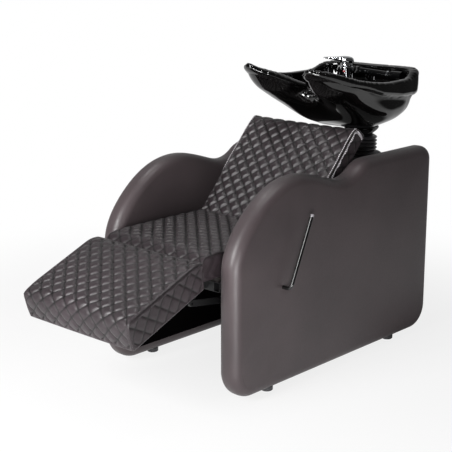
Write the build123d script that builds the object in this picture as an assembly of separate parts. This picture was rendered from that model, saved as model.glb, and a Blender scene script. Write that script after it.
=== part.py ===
from build123d import *
import os
from math import atan2, ceil, cos, degrees, hypot, pi, radians, sin

# Hair washing bed: two padded side panels carry a seat, a fixed backrest and a hinged leg-rest.
# A tilting ceramic basin stands on a column behind the backrest.
# Millimetres, +Z up, -Y towards the sitter's feet, +X to the sitter's left.
# The origin is on the floor at the column's axis.
# The chair's pieces are drawn about the middle of its panels and then moved forward by panel_lead.

# Side panels
panel_spacing = 530.0
panel_thickness = 80.0
panel_length = 1056.0
panel_height = 691.0
panel_edge_radius = 33.0
panel_front_low_radius = 90.0
panel_rear_low_radius = 85.0
panel_rear_top_radius = 50.0
panel_core_thickness = 30.0
panel_core_margin = 34.0
arm_front_height = 425.0
arm_top_level = 689.0
arm_dip_level = 641.0
inner_board_thickness = 12.0
inner_board_radius = 40.0
inner_board_margin = 52.0
glide_height = 15.0
glide_radius = 20.0
glide_spread = 670.0
fit_gap = 0.3
running_gap = 0.05
overrun = 5.0

# Arm outline: shares of the panel's half length and height, front to rear
arm_rise_shares = [(-0.822, 0.864), (-0.576, 0.978)]
arm_crest_share = -0.39
arm_fall_shares = [(-0.121, 0.951)]
arm_dip_share = 0.027
arm_flat_share = 0.316

# Seat
seat_top = 480.0
seat_thickness = 75.0
seat_front = 586.0
seat_rear = 133.0
seat_width = 436.0
seat_nose = 30.0
seat_board_thickness = 15.0
seat_board_front = 512.0
seat_crown = 5.0

# Backrest
back_foot_y = -130.0
back_foot_z = 470.0
back_angle = 47.5
back_length = 430.0
back_width = 436.0
back_thickness = 60.0
back_nose = 22.0
back_board_thickness = 15.0
back_board_margin = 15.0
back_crown = 4.0

# Leg-rest
legrest_top_y = -606.0
legrest_top_z = 477.0
legrest_slope = 22.3
legrest_length = 330.0
legrest_width = 456.0
legrest_thickness = 85.0
legrest_nose = 26.0
legrest_crown = 5.0
legrest_lean = 22.0
legrest_board_thickness = 12.0
legrest_board_margin = 26.0
legrest_travel = 62.0

# Quilting: square diamonds standing on a corner
quilt_diamonds = 8.5
quilt_puff = 5.0
side_bulge = 6.0

# Hinge, lever and links
hinge_y = -561.0
hinge_z = 385.0
hinge_pin_radius = 5.0
shaft_y = -308.0
shaft_z = 347.0
crank_radius = 60.0
link_pin_radius = 4.0
lug_offset = 168.0
plate_thickness = 5.0
side_play = 0.5
lever_bar_radius = 6.0
lever_standoff = 33.0
lever_bend_radius = 16.0
lever_rise = 223.0
lever_run = 102.0
lever_cap_length = 9.0
torsion_tube_radius = 10.0

# Seat frame
rail_width = 25.0
rail_height = 32.0
rail_wall = 2.0
rail_front = 515.0
rail_rear = 96.0
front_tube_depth = 30.0
rear_tube_y = -168.0
upright_width = 30.0
upright_depth = 20.0
upright_offset = 150.0
back_tube_radius = 16.0
back_tube_share = 0.58
frame_bolt_radius = 4.0
frame_bolt_head_radius = 7.0
frame_bolt_head_height = 5.0

# Column, base plate and tilt joint
panel_lead = 484.0
column_radius = 60.0
column_wall = 4.0
column_top = 650.0
base_plate_side = 280.0
base_plate_thickness = 8.0
anchor_spacing = 220.0
anchor_hole_radius = 6.0
base_tube_height = 40.0
base_tube_depth = 40.0
base_tube_y = -112.0
head_plate_thickness = 6.0
tilt_rise = 26.0
tilt_pin_radius = 8.0
ear_thickness = 8.0
ear_gap = 40.0
ear_radius = 11.0
tilt_plate_rise = 18.0
tilt_plate_radius = 56.0
tilt_plate_thickness = 6.0
tilt_forward = 5.0
tilt_back = 15.0
bellows_radius = 73.0
bellows_root_radius = 65.0
bellows_wall = 3.0
bellows_ribs = 6

# Basin
basin_half_width = 222.0
basin_rear = 78.0
basin_neck_rise = 32.0
basin_neck_radius = 72.0
basin_foot_radius = 54.0
basin_reach = 412.0
basin_front = -496.0
basin_wall = 13.0
basin_band = 8.0
basin_height = 262.0
basin_floor_rise = 48.0
basin_deck_rise = 154.0
basin_deck_front = -48.0
basin_deck_thickness = 12.0
neck_bore_radius = 34.0
drain_y = -105.0
drain_radius = 18.0
drain_slant_radius = 12.0

# Fittings on the basin
mixer_x = -50.0
mixer_y = -13.0
mixer_radius = 24.0
mixer_body_height = 60.0
mixer_lever_length = 92.0
mixer_turn = 45.0
mixer_lift = 20.0
shank_radius = 12.0
shower_y = 38.0
shower_post_height = 35.0
shower_elbow_x = 150.0
shower_elbow_radius = 12.0
shower_handle_radius = 11.0
shower_head_radius = 22.0
shower_reach = 165.0
shower_socket_length = 34.0
shower_rise = 8.0
head_tilt = 12.0
mixer_base_height = 5.0
pivot_rise = 3.0
handle_rim_rise = 6.3
dome_gap = 0.3
spindle_radius = 10.0
spindle_depth = 30.0
collar_height = 8.0
handle_height = 25.0
lever_aim = 222.6
mark_aim = -72.0
mark_radius = 4.0
shank_length = 34.0
nut_height = 8.0
flange_thickness = 3.0
catcher_radius = 15.0
catcher_thickness = 2.0
catcher_holes = 8

# Waste pipe
waste_x = 55.0
waste_y = 68.0
waste_radius = 20.0
waste_wall = 2.0
waste_top = 596.0
waste_bend_radius = 26.0

# Sizes that follow from the ones above
inner_face = (panel_spacing - panel_thickness) / 2
outer_face = inner_face + panel_thickness
half_length = panel_length / 2
seat_bottom = seat_top - seat_thickness
rail_top = seat_bottom - seat_board_thickness
rail_bottom = rail_top - rail_height
rail_inner = inner_face - rail_width
legrest_rest_swing = radians(legrest_slope)
crank_lead = radians(legrest_travel / 2)
crank_dy = -crank_radius * sin(crank_lead)
crank_dz = -crank_radius * cos(crank_lead)
tilt_height = column_top + head_plate_thickness + tilt_rise
tilt_plate_level = tilt_height + tilt_plate_rise
basin_foot_level = tilt_plate_level + tilt_plate_thickness
basin_neck_level = basin_foot_level + basin_neck_rise
basin_floor_level = basin_neck_level + basin_floor_rise
basin_deck_level = basin_neck_level + basin_deck_rise
basin_top_level = basin_neck_level + basin_height
shower_level = basin_deck_level + shower_post_height
mixer_top = basin_deck_level + mixer_body_height
pivot_level = mixer_top + pivot_rise
dome_radius = mixer_radius * 0.92
lever_plane = outer_face + lever_standoff
both_sides = (("left", 1), ("right", -1))


def side_plane(x):
    """Plane whose first axis is +Y and second axis is +Z, at the given x."""
    return Plane(origin=(x, 0, 0), x_dir=(0, 1, 0), z_dir=(1, 0, 0))


def plate_x(points, x_low, thickness):
    """Flat plate between two x values from a Y-Z outline."""
    return extrude(side_plane(x_low) * make_face(Polyline(*points, close=True)), thickness)


def rod_x(radius, x_low, x_high, y, z):
    """Round bar along X."""
    circle = side_plane(x_low) * Pos(y, z) * Circle(radius)
    return extrude(circle, x_high - x_low)


def rod_z(radius, z_low, z_high, x, y):
    """Round bar along Z."""
    return extrude(Plane((0, 0, z_low)) * Pos(x, y) * Circle(radius), z_high - z_low)


def block(x_low, x_high, y_low, y_high, z_low, z_high):
    """Plain block between its two corners."""
    size = (x_high - x_low, y_high - y_low, z_high - z_low)
    centre = ((x_high + x_low) / 2, (y_high + y_low) / 2, (z_high + z_low) / 2)
    return Pos(*centre) * Box(*size)


def eye_bar(ends, radii, x_low, thickness):
    """Flat bar with a round end at each of its Y-Z points, tapered between them."""
    pieces = []
    for (y, z), radius in zip(ends, radii):
        pieces.append(rod_x(radius, x_low, x_low + thickness, y, z))
    for near, far, near_radius, far_radius in zip(ends, ends[1:], radii, radii[1:]):
        run = hypot(far[0] - near[0], far[1] - near[1])
        across = ((near[1] - far[1]) / run, (far[0] - near[0]) / run)
        corners = []
        for (y, z), reach in ((near, near_radius), (far, far_radius), (far, -far_radius), (near, -near_radius)):
            corners.append((y + across[0] * reach, z + across[1] * reach))
        pieces.append(plate_x(corners, x_low, thickness))
    bar = pieces[0]
    for piece in pieces[1:]:
        bar = bar + piece
    return bar


def side_x(side, low, thickness):
    """Lowest x of a plate that starts at distance low from the middle on one side."""
    return low if side > 0 else -low - thickness


def panel_outline(inset=0):
    """Side view of an arm panel, drawn in by inset: rounded foot, crest, dip and level shoulder."""
    def share(pair):
        return (pair[0] * half_length, pair[1] * panel_height)

    raw = [(-half_length, arm_front_height)]
    raw += [share(pair) for pair in arm_rise_shares]
    raw += [(arm_crest_share * half_length, arm_top_level)]
    raw += [share(pair) for pair in arm_fall_shares]
    raw += [(arm_dip_share * half_length, arm_dip_level)]
    points = [(raw[0][0] + inset, raw[0][1])]
    for before, here, after in zip(raw, raw[1:], raw[2:]):
        run = hypot(after[0] - before[0], after[1] - before[1])
        points.append((here[0] + (after[1] - before[1]) / run * inset,
                       here[1] - (after[0] - before[0]) / run * inset))
    dip = (raw[-1][0], raw[-1][1] - inset)
    points.append(dip)
    front_edge, rear_edge = inset - half_length, half_length - inset
    low, high = glide_height + inset, panel_height - inset
    front_radius, rear_radius = panel_front_low_radius - inset, panel_rear_low_radius - inset
    top_radius = panel_rear_top_radius - inset
    wave = Spline(*points, tangents=[(0, 1), (1, 0)])
    flat = (arm_flat_share * half_length, high)
    middle = ((dip[0] + flat[0]) / 2, (dip[1] + flat[1]) / 2)
    hollow = TangentArc(dip, middle, tangent=(1, 0))
    swell = TangentArc(middle, flat, tangent=hollow % 1)
    shoulder = Line(flat, (rear_edge - top_radius, high))
    rear_top = TangentArc(shoulder @ 1, (rear_edge, high - top_radius), tangent=(1, 0))
    rear = Line(rear_top @ 1, (rear_edge, low + rear_radius))
    rear_low = TangentArc(rear @ 1, (rear_edge - rear_radius, low), tangent=(0, -1))
    foot = Line(rear_low @ 1, (front_edge + front_radius, low))
    front_low = TangentArc(foot @ 1, (front_edge, low + front_radius), tangent=(-1, 0))
    front = Line(front_low @ 1, points[0])
    return make_face([wave, hollow, swell, shoulder, rear_top, rear, rear_low, foot, front_low, front])


def board_window(margin, radius):
    """Rounded rectangle on the inner face of a panel, below the seat rails."""
    length = panel_length - 2 * margin
    height = rail_bottom - glide_height - margin - overrun
    centre = glide_height + margin + height / 2
    return Pos(0, centre) * RectangleRounded(length, height, radius)


def frame_bolt_places():
    """Y and Z of the bolts that hold a seat rail to its panel."""
    middle = (rail_top + rail_bottom) / 2
    front = rail_front - 2 * rail_height
    rear = rail_rear + rail_height
    return [(-front, middle), (-(front + rear) / 2, middle), (-rear, middle)]


def side_panel(side):
    """Padded panel, its board core and the black inner board."""
    outline = panel_outline()
    skin = extrude(side_plane(side_x(side, inner_face, panel_thickness)) * outline, panel_thickness)
    skin = fillet(skin.edges().filter_by(lambda edge: edge.bounding_box().size.X < fit_gap), panel_edge_radius)
    core_low = inner_face + (panel_thickness - panel_core_thickness) / 2
    core_outline = panel_outline(panel_core_margin)
    core = extrude(side_plane(side_x(side, core_low, panel_core_thickness)) * core_outline, panel_core_thickness)
    pocket_outline = panel_outline(panel_core_margin - fit_gap)
    pocket_low = side_x(side, core_low, panel_core_thickness)
    skin = skin - extrude(side_plane(pocket_low) * pocket_outline, panel_core_thickness)
    window_low = side_x(side, inner_face, inner_board_thickness)
    board = extrude(side_plane(window_low) * board_window(inner_board_margin, inner_board_radius),
                    inner_board_thickness)
    recess = extrude(side_plane(window_low) * board_window(inner_board_margin - fit_gap, inner_board_radius),
                     inner_board_thickness)
    skin = skin - recess
    reach = (panel_thickness + panel_core_thickness) / 2 + side_play + overrun
    for y, z in frame_bolt_places():
        reach_low = side_x(side, inner_face - overrun, reach)
        hole = rod_x(frame_bolt_radius + running_gap, reach_low, reach_low + reach, y, z)
        skin = skin - hole
        core = core - hole
    if side > 0:
        bush_hole = rod_x(bush_radius() + running_gap, inner_face - overrun, outer_face + overrun,
                          shaft_y, shaft_z)
        skin = skin - bush_hole
        core = core - bush_hole
        board = board - bush_hole
    return skin, core, board


def bush_radius():
    """Outside radius of the plastic bush that the lever bar turns in."""
    return lever_bar_radius * 1.6


def lever_bush():
    """Plastic bush through the panel, its mouth just inside the upholstery."""
    low, high = inner_face + side_play, outer_face - side_play
    body = rod_x(bush_radius(), low, high, shaft_y, shaft_z)
    return body - rod_x(lever_bar_radius + running_gap, low - overrun, high + overrun, shaft_y, shaft_z)


def glides():
    """Four glide feet under the panels."""
    feet = []
    for _, side in both_sides:
        for end in (-1, 1):
            x = side * panel_spacing / 2
            y = end * glide_spread / 2
            foot = rod_z(glide_radius, 0, glide_height, x, y)
            feet.append(chamfer(foot.edges().group_by(Axis.Z)[0], glide_radius / 8))
    return Compound(children=feet)


def cushion(width, length, thickness, nose, crown, lean=0):
    """Quilted pad as facets: first axis across, second along, third out of the seated face.

    The quilted skin runs along the top, round the nose and down the front face.
    The plain end leans forward by lean from top to bottom.
    """
    half = width / 2
    columns = round(2 * quilt_diamonds)
    pitch = width / columns
    flat = length - nose
    arc = nose * pi / 2
    face = thickness - nose
    rows_flat = round(flat / pitch)
    rows_arc = max(2, ceil(arc / pitch))
    rows_face = max(1, round(face / pitch))
    rows = rows_flat + rows_arc + rows_face

    def on_path(row):
        if row <= rows_flat:
            return (flat * row / rows_flat, 0, 0, 1)
        if row <= rows_flat + rows_arc:
            turn = pi / 2 * (row - rows_flat) / rows_arc
            return (flat + nose * sin(turn), nose * (cos(turn) - 1), sin(turn), cos(turn))
        down = (row - rows_flat - rows_arc) / rows_face
        return (length, -nose - face * down, 1, 0)

    def skin_point(column, row):
        along, out, normal_along, normal_out = on_path(row)
        across = -half + pitch * column
        edge = column in (0, columns) or row in (0, rows)
        arch = crown * (1 - (across / half) ** 2) * sin(pi * min(row / rows_flat, 1) / 2)
        puff = quilt_puff if (column + row) % 2 and not edge else 0
        lift = 0 if edge else arch * normal_out + puff
        return Vector(across, along + normal_along * lift, out + normal_out * lift)

    top = [[skin_point(column, row) for row in range(rows + 1)] for column in range(columns + 1)]
    for column in range(1, columns):
        top[column][0] = Vector(top[column][0].X, 0, 0)
    faces = []

    def triangle(first, second, third):
        faces.append(Face(Wire.make_polygon([first, second, third])))

    for column in range(columns):
        for row in range(rows):
            a, b = top[column][row], top[column + 1][row]
            c, d = top[column + 1][row + 1], top[column][row + 1]
            if (column + row) % 2:
                triangle(a, b, c)
                triangle(a, c, d)
            else:
                triangle(a, b, d)
                triangle(b, c, d)
    last = rows_flat
    for column, outward in ((0, -1), (columns, 1)):
        edge_line = top[column]
        bulge = [Vector(outward * (half + (side_bulge if 0 < row < last else 0)),
                        edge_line[row].Y if row else lean / 2, -thickness / 2) for row in range(last + 1)]
        base = [Vector(outward * half, edge_line[row].Y if row else lean, -thickness)
                for row in range(last + 1)]
        for row in range(rows):
            here, there = min(row, last), min(row + 1, last)
            if here != there:
                triangle(edge_line[row], edge_line[row + 1], bulge[there])
                triangle(edge_line[row], bulge[there], bulge[here])
                triangle(bulge[here], bulge[there], base[there])
                triangle(bulge[here], base[there], base[here])
            else:
                triangle(edge_line[row], edge_line[row + 1], bulge[last])
        triangle(bulge[last], edge_line[rows], base[last])
    rear_ring = [Vector(half, lean, -thickness), Vector(-half, lean, -thickness),
                 Vector(-half, lean / 2, -thickness / 2)]
    rear_ring += [top[column][0] for column in range(columns + 1)]
    rear_ring += [Vector(half, lean / 2, -thickness / 2)]
    faces.append(Face(Wire.make_polygon(rear_ring)))
    base_ring = [Vector(-half, top[0][row].Y if row else lean, -thickness) for row in range(last + 1)]
    base_ring += [top[column][rows] for column in range(columns + 1)]
    base_ring += [Vector(half, top[0][row].Y if row else lean, -thickness) for row in range(last, -1, -1)]
    faces.append(Face(Wire.make_polygon(base_ring)))
    pad = Solid(Shell(faces))
    return pad if pad.volume > 0 else Solid(Shell([-one for one in faces]))


def seat_plane():
    """Frame of the seat pad: along is towards the front."""
    return Plane(origin=(0, -seat_rear, seat_top), x_dir=(-1, 0, 0), z_dir=(0, 0, 1))


def back_plane():
    """Frame of the backrest pad: along is up the back, out is towards the sitter."""
    turn = radians(back_angle)
    return Plane(origin=(0, back_foot_y, back_foot_z), x_dir=(1, 0, 0), z_dir=(0, -sin(turn), cos(turn)))


def legrest_plane():
    """Frame of the leg-rest pad: along is towards the feet, out is up."""
    turn = legrest_rest_swing
    return Plane(origin=(0, legrest_top_y, legrest_top_z), x_dir=(-1, 0, 0), z_dir=(0, -sin(turn), cos(turn)))


def seat_cushion():
    return seat_plane() * cushion(seat_width, seat_front - seat_rear, seat_thickness, seat_nose, seat_crown)


def back_cushion():
    return back_plane() * cushion(back_width, back_length, back_thickness, back_nose, back_crown)


def legrest_cushion():
    return legrest_plane() * cushion(legrest_width, legrest_length, legrest_thickness, legrest_nose,
                                     legrest_crown, legrest_lean)


def seat_board():
    """Plywood under the seat pad."""
    half = seat_width / 2
    return block(-half, half, -seat_board_front, -seat_rear, rail_top, seat_bottom)


def back_board():
    """Plywood behind the backrest pad."""
    width = back_width - 2 * back_board_margin
    length = back_length - 2 * back_board_margin
    board = Pos(0, back_length / 2, -back_thickness - back_board_thickness / 2) * Box(
        width, length, back_board_thickness)
    return back_plane() * board


def legrest_board():
    """Plywood under the leg-rest pad."""
    width = legrest_width - 2 * legrest_board_margin
    length = legrest_length - 2 * legrest_board_margin
    board = Pos(0, legrest_length / 2, -legrest_thickness - legrest_board_thickness / 2) * Box(
        width, length, legrest_board_thickness)
    return legrest_plane() * board


def square_tube(x_low, x_high, y_low, y_high, z_low, z_high, along, wall):
    """Rectangular steel tube, open at both ends along one axis."""
    outer = block(x_low, x_high, y_low, y_high, z_low, z_high)
    grow = {"x": (-overrun, wall, wall), "y": (wall, -overrun, wall)}[along]
    inner = block(x_low + grow[0], x_high - grow[0], y_low + grow[1], y_high - grow[1],
                  z_low + grow[2], z_high - grow[2])
    return outer - inner


def seat_rail(side):
    """Side rail of the seat frame, with its bearing plate hole line left solid."""
    low = side_x(side, rail_inner, rail_width)
    rail = square_tube(low, low + rail_width, -rail_front, -rail_rear, rail_bottom, rail_top, "y", rail_wall)
    for y, z in frame_bolt_places():
        rail = rail - rod_x(frame_bolt_radius + running_gap, low - overrun, low + rail_width + overrun, y, z)
    return rail


def frame_bolts():
    """Bolts through the seat rails into the panel cores."""
    bolts = []
    reach = (panel_thickness + panel_core_thickness) / 2 - side_play
    for _, side in both_sides:
        for y, z in frame_bolt_places():
            shank_low = side_x(side, rail_inner, rail_width + reach)
            shank = rod_x(frame_bolt_radius, shank_low, shank_low + rail_width + reach, y, z)
            head_low = side_x(side, rail_inner - frame_bolt_head_height, frame_bolt_head_height)
            hexagon = side_plane(head_low) * Pos(y, z) * RegularPolygon(frame_bolt_head_radius, 6)
            bolts.append(shank + extrude(hexagon, frame_bolt_head_height))
    return Compound(children=bolts)


def front_cross_tube():
    return square_tube(-rail_inner, rail_inner, -rail_front, front_tube_depth - rail_front,
                       rail_bottom, rail_top, "x", rail_wall)


def rear_cross_tube():
    return square_tube(-rail_inner, rail_inner, rear_tube_y - front_tube_depth, rear_tube_y,
                       rail_bottom, rail_top, "x", rail_wall)


def hinge_lug(side):
    """Lug welded to the front cross tube, with the hinge eye at its tip."""
    low = side_x(side, lug_offset, plate_thickness)
    eye = hinge_pin_radius * 2.4
    lug = rod_x(eye, low, low + plate_thickness, hinge_y, hinge_z)
    web = [(hinge_y, hinge_z + eye), (-rail_front, rail_top), (-rail_front, rail_bottom + eye / 2),
           (hinge_y, hinge_z - eye)]
    lug = lug + plate_x(web, low, plate_thickness)
    bore = rod_x(hinge_pin_radius + running_gap, low - overrun, low + plate_thickness + overrun, hinge_y, hinge_z)
    return lug - bore


def arm_low():
    """Distance from the middle of the leg-rest arms and cranks."""
    return lug_offset + plate_thickness + side_play


def arm_pin():
    """Y and Z of the pivot where a link bar meets a leg-rest arm."""
    return (hinge_y + crank_dy, hinge_z + crank_dz)


def crank_pin():
    """Y and Z of the pivot where a link bar meets a crank."""
    return (shaft_y + crank_dy, shaft_z + crank_dz)


def legrest_arm(side):
    """Flat arm under the leg-rest board: hinge eye, drive eye and a screwed flange."""
    low = side_x(side, arm_low(), plate_thickness)
    eye = hinge_pin_radius * 2.4
    drive = link_pin_radius * 2.6
    arm = eye_bar([(hinge_y, hinge_z), arm_pin()], [eye, drive], low, plate_thickness)
    along = (-cos(legrest_rest_swing), -sin(legrest_rest_swing))
    below = (sin(legrest_rest_swing), -cos(legrest_rest_swing))
    depth = legrest_thickness + legrest_board_thickness
    web_depth = plate_thickness * 4
    start = legrest_board_margin + plate_thickness
    reach = legrest_length * 0.62

    def at(run, drop):
        return (legrest_top_y + along[0] * run + below[0] * drop,
                legrest_top_z + along[1] * run + below[1] * drop)

    web = [at(start, depth), at(reach, depth), at(reach, depth + plate_thickness), at(start, depth + web_depth)]
    arm = arm + plate_x(web, low, plate_thickness)
    neck = [at(start, depth), at(start + web_depth, depth + web_depth / 2), arm_pin(), (hinge_y, hinge_z)]
    arm = arm + plate_x(neck, low, plate_thickness)
    flange_width = plate_thickness * 4
    flange_low = side_x(side, arm_low() - flange_width, flange_width)
    flange = [at(start, depth), at(reach, depth), at(reach, depth + plate_thickness),
              at(start, depth + plate_thickness)]
    arm = arm + plate_x(flange, flange_low, flange_width)
    for (y, z), radius in (((hinge_y, hinge_z), hinge_pin_radius), (arm_pin(), link_pin_radius)):
        arm = arm - rod_x(radius + running_gap, low - overrun, low + plate_thickness + overrun, y, z)
    return arm


def headed_pin(side, start, length, radius, place):
    """Pin with a round head at each end."""
    y, z = place
    low = side_x(side, start, length)
    head = radius * 0.6
    pin = rod_x(radius, low, low + length, y, z)
    pin = pin + rod_x(radius * 1.5, low - head, low, y, z)
    return pin + rod_x(radius * 1.5, low + length, low + length + head, y, z)


def hinge_pins():
    """Pins that the leg-rest swings on, fixed in the lugs."""
    length = 2 * plate_thickness + 2 * side_play
    pins = [headed_pin(side, lug_offset - side_play / 2, length, hinge_pin_radius, (hinge_y, hinge_z))
            for _, side in both_sides]
    return Compound(children=pins)


def link_bar(side):
    """Bar from a crank to a leg-rest arm, beside them."""
    low = side_x(side, arm_low() + plate_thickness + side_play, plate_thickness)
    drive = link_pin_radius * 2.6
    bar = eye_bar([arm_pin(), crank_pin()], [drive, drive], low, plate_thickness)
    for y, z in (arm_pin(), crank_pin()):
        bar = bar - rod_x(link_pin_radius + running_gap, low - overrun, low + plate_thickness + overrun, y, z)
    return bar


def link_pins(place):
    """Pins of the two link bars at one of their ends."""
    length = 2 * plate_thickness + 2 * side_play
    pins = [headed_pin(side, arm_low() - side_play / 2, length, link_pin_radius, place)
            for _, side in both_sides]
    return Compound(children=pins)


def torsion_tube():
    """Tube across the chair that joins the two cranks."""
    reach = bearing_low() + plate_thickness + side_play
    tube = rod_x(torsion_tube_radius, -reach, reach, shaft_y, shaft_z)
    bore = rod_x(lever_bar_radius + running_gap, -reach - overrun, reach + overrun, shaft_y, shaft_z)
    return tube - bore


def crank(side):
    """Crank plate welded on the torsion tube."""
    low = side_x(side, arm_low(), plate_thickness)
    drive = link_pin_radius * 2.6
    plate = eye_bar([(shaft_y, shaft_z), crank_pin()], [torsion_tube_radius * 1.7, drive], low, plate_thickness)
    plate = plate - rod_x(torsion_tube_radius + running_gap, low - overrun, low + plate_thickness + overrun,
                          shaft_y, shaft_z)
    y, z = crank_pin()
    return plate - rod_x(link_pin_radius + running_gap, low - overrun, low + plate_thickness + overrun, y, z)


def bearing_low():
    """Distance from the middle of the plates that the torsion tube turns in."""
    return rail_inner + plate_thickness


def bearing_plate(side):
    """Plate hanging from a seat rail, bored for the torsion tube."""
    low = side_x(side, bearing_low(), plate_thickness)
    half = torsion_tube_radius * 2.2
    outline = [(shaft_y - half, rail_bottom), (shaft_y + half, rail_bottom),
               (shaft_y + half * 0.8, shaft_z - half * 0.8), (shaft_y - half * 0.8, shaft_z - half * 0.8)]
    plate = plate_x(outline, low, plate_thickness)
    return plate - rod_x(torsion_tube_radius + running_gap, low - overrun, low + plate_thickness + overrun,
                         shaft_y, shaft_z)


def lever_path():
    """Centre line of the lever bar: along the shaft, round the bend and up to the hand end."""
    tip_run = hypot(lever_run, lever_rise)
    rise = (0, lever_run / tip_run, lever_rise / tip_run)
    inner = inner_face - rail_width * 2
    bend_start = (lever_plane - lever_bend_radius, shaft_y, shaft_z)
    bend_end = (lever_plane, shaft_y + rise[1] * lever_bend_radius, shaft_z + rise[2] * lever_bend_radius)
    straight = tip_run - lever_cap_length
    tip = (lever_plane, shaft_y + rise[1] * straight, shaft_z + rise[2] * straight)
    shaft = Line((inner, shaft_y, shaft_z), bend_start)
    bend = TangentArc(bend_start, bend_end, tangent=(1, 0, 0))
    return shaft, bend, Line(bend_end, tip), rise, tip


def lever_bar():
    """Bent round bar: its long end is the hand lever, its short end turns the torsion tube."""
    shaft, bend, hand, _, _ = lever_path()
    profile = Plane(origin=shaft @ 0, z_dir=(1, 0, 0)) * Circle(lever_bar_radius)
    return sweep(profile, path=Curve() + [shaft, bend, hand])


def lever_cap():
    """Pale cap on the hand end of the lever."""
    _, _, _, rise, tip = lever_path()
    cap = extrude(Plane(origin=tip, z_dir=rise) * Circle(lever_bar_radius), lever_cap_length)
    return chamfer(cap.edges().group_by(Axis.Z)[-1], lever_bar_radius / 4)


def upright(side):
    """Steel upright behind the backrest board."""
    drop = back_thickness + back_board_thickness + upright_depth / 2
    length = back_length - 2 * back_board_margin
    bar = Pos(side * upright_offset, back_length / 2, -drop) * Box(upright_width, length, upright_depth)
    hollow = Pos(side * upright_offset, back_length / 2, -drop) * Box(
        upright_width - 2 * rail_wall, length + overrun, upright_depth - 2 * rail_wall)
    return back_plane() * (bar - hollow)


def upright_foot(side):
    """Gusset that carries an upright on the rear cross tube of the seat frame."""
    plane = back_plane()
    drop = back_thickness + back_board_thickness
    front_low = plane.from_local_coords((0, back_board_margin, -drop))
    rear_low = plane.from_local_coords((0, back_board_margin, -drop - upright_depth))
    rear_high = plane.from_local_coords((0, back_board_margin + 3 * upright_depth, -drop - upright_depth))
    shelf = rear_tube_y
    outline = [(shelf, rail_top), (shelf, rail_bottom), (rear_low.Y, rail_bottom),
               (rear_high.Y, rear_high.Z), (rear_low.Y, rear_low.Z), (front_low.Y, front_low.Z),
               (side_play - seat_rear, rail_top)]
    low = side * upright_offset - plate_thickness / 2
    return plate_x(outline, low, plate_thickness)


def back_cross_tube():
    """Round tube between the panels that the uprights lean on."""
    plane = back_plane()
    drop = back_thickness + back_board_thickness + upright_depth + back_tube_radius
    centre = plane.from_local_coords((0, back_length * back_tube_share, -drop))
    tube = rod_x(back_tube_radius, -inner_face, inner_face, centre.Y, centre.Z)
    return tube - rod_x(back_tube_radius - rail_wall, -inner_face - overrun, inner_face + overrun,
                        centre.Y, centre.Z)


def base_plate():
    """Floor plate of the column, with anchor holes and a hole for the waste pipe."""
    plate = extrude(RectangleRounded(base_plate_side, base_plate_side, anchor_hole_radius * 2),
                    base_plate_thickness)
    for x_end in (-1, 1):
        for y_end in (-1, 1):
            x = x_end * anchor_spacing / 2
            y = y_end * anchor_spacing / 2
            plate = plate - rod_z(anchor_hole_radius, -overrun, base_plate_thickness + overrun, x, y)
    return plate - rod_z(waste_radius + side_play, -overrun, base_plate_thickness + overrun, waste_x, waste_y)


def base_cross_tube():
    """Floor tube that ties the panels to the base plate."""
    low = base_plate_thickness
    return square_tube(-inner_face, inner_face, base_tube_y - base_tube_depth / 2,
                       base_tube_y + base_tube_depth / 2, low, low + base_tube_height, "x", rail_wall)


def column_tube():
    """Steel column with a side hole for the waste elbow."""
    tube = rod_z(column_radius, base_plate_thickness, column_top, 0, 0)
    tube = tube - rod_z(column_radius - column_wall, base_plate_thickness - overrun, column_top + overrun,
                        0, 0)
    return tube - waste_side_run(waste_radius + side_play, column_radius)


def waste_direction():
    """Unit vector from the waste pipe's axis to the column's axis."""
    run = hypot(waste_x, waste_y)
    return Vector(-waste_x / run, -waste_y / run, 0)


def waste_side_run(radius, length):
    """Round run from the elbow's side mouth into the column."""
    start = Vector(waste_x, waste_y, waste_top + waste_bend_radius) + waste_direction() * waste_bend_radius
    return extrude(Plane(origin=start, z_dir=waste_direction()) * Circle(radius), length)


def waste_pipe():
    """Floor pipe of the waste."""
    pipe = rod_z(waste_radius, 0, waste_top, waste_x, waste_y)
    return pipe - rod_z(waste_radius - waste_wall, -overrun, waste_top + overrun, waste_x, waste_y)


def waste_elbow():
    """Bend from the column to the floor pipe, with a short run into the column."""
    def bend(radius):
        axis_point = Vector(waste_x, waste_y, waste_top) + waste_direction() * waste_bend_radius
        axis = Axis(axis_point, Vector(0, 0, 1).cross(waste_direction()))
        circle = Plane(origin=(waste_x, waste_y, waste_top), z_dir=(0, 0, 1)) * Circle(radius)
        return revolve(circle, axis=axis, revolution_arc=90)

    run = column_wall * 8
    outer = bend(waste_radius) + waste_side_run(waste_radius, run)
    return outer - bend(waste_radius - waste_wall) - waste_side_run(waste_radius - waste_wall, run + overrun)


def column_head():
    """Cap plate of the column with two ears for the tilt pin."""
    low, high = column_top, column_top + head_plate_thickness
    head = rod_z(column_radius, low, high, 0, 0)
    for _, side in both_sides:
        x = side_x(side, ear_gap / 2, ear_thickness)
        ear = rod_x(ear_radius, x, x + ear_thickness, 0, tilt_height)
        foot = [(-ear_radius, tilt_height), (ear_radius, tilt_height), (2 * ear_radius, high),
                (-2 * ear_radius, high)]
        head = head + ear + plate_x(foot, x, ear_thickness)
    reach = ear_gap
    return head - rod_x(tilt_pin_radius + running_gap, -reach, reach, 0, tilt_height)


def basin_bolt_places():
    """X and Y of the bolts under the basin's foot."""
    ring = (basin_foot_radius + neck_bore_radius) / 2
    return [(ring * cos(pi / 2 * turn + pi / 4), ring * sin(pi / 2 * turn + pi / 4)) for turn in range(4)]


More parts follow.
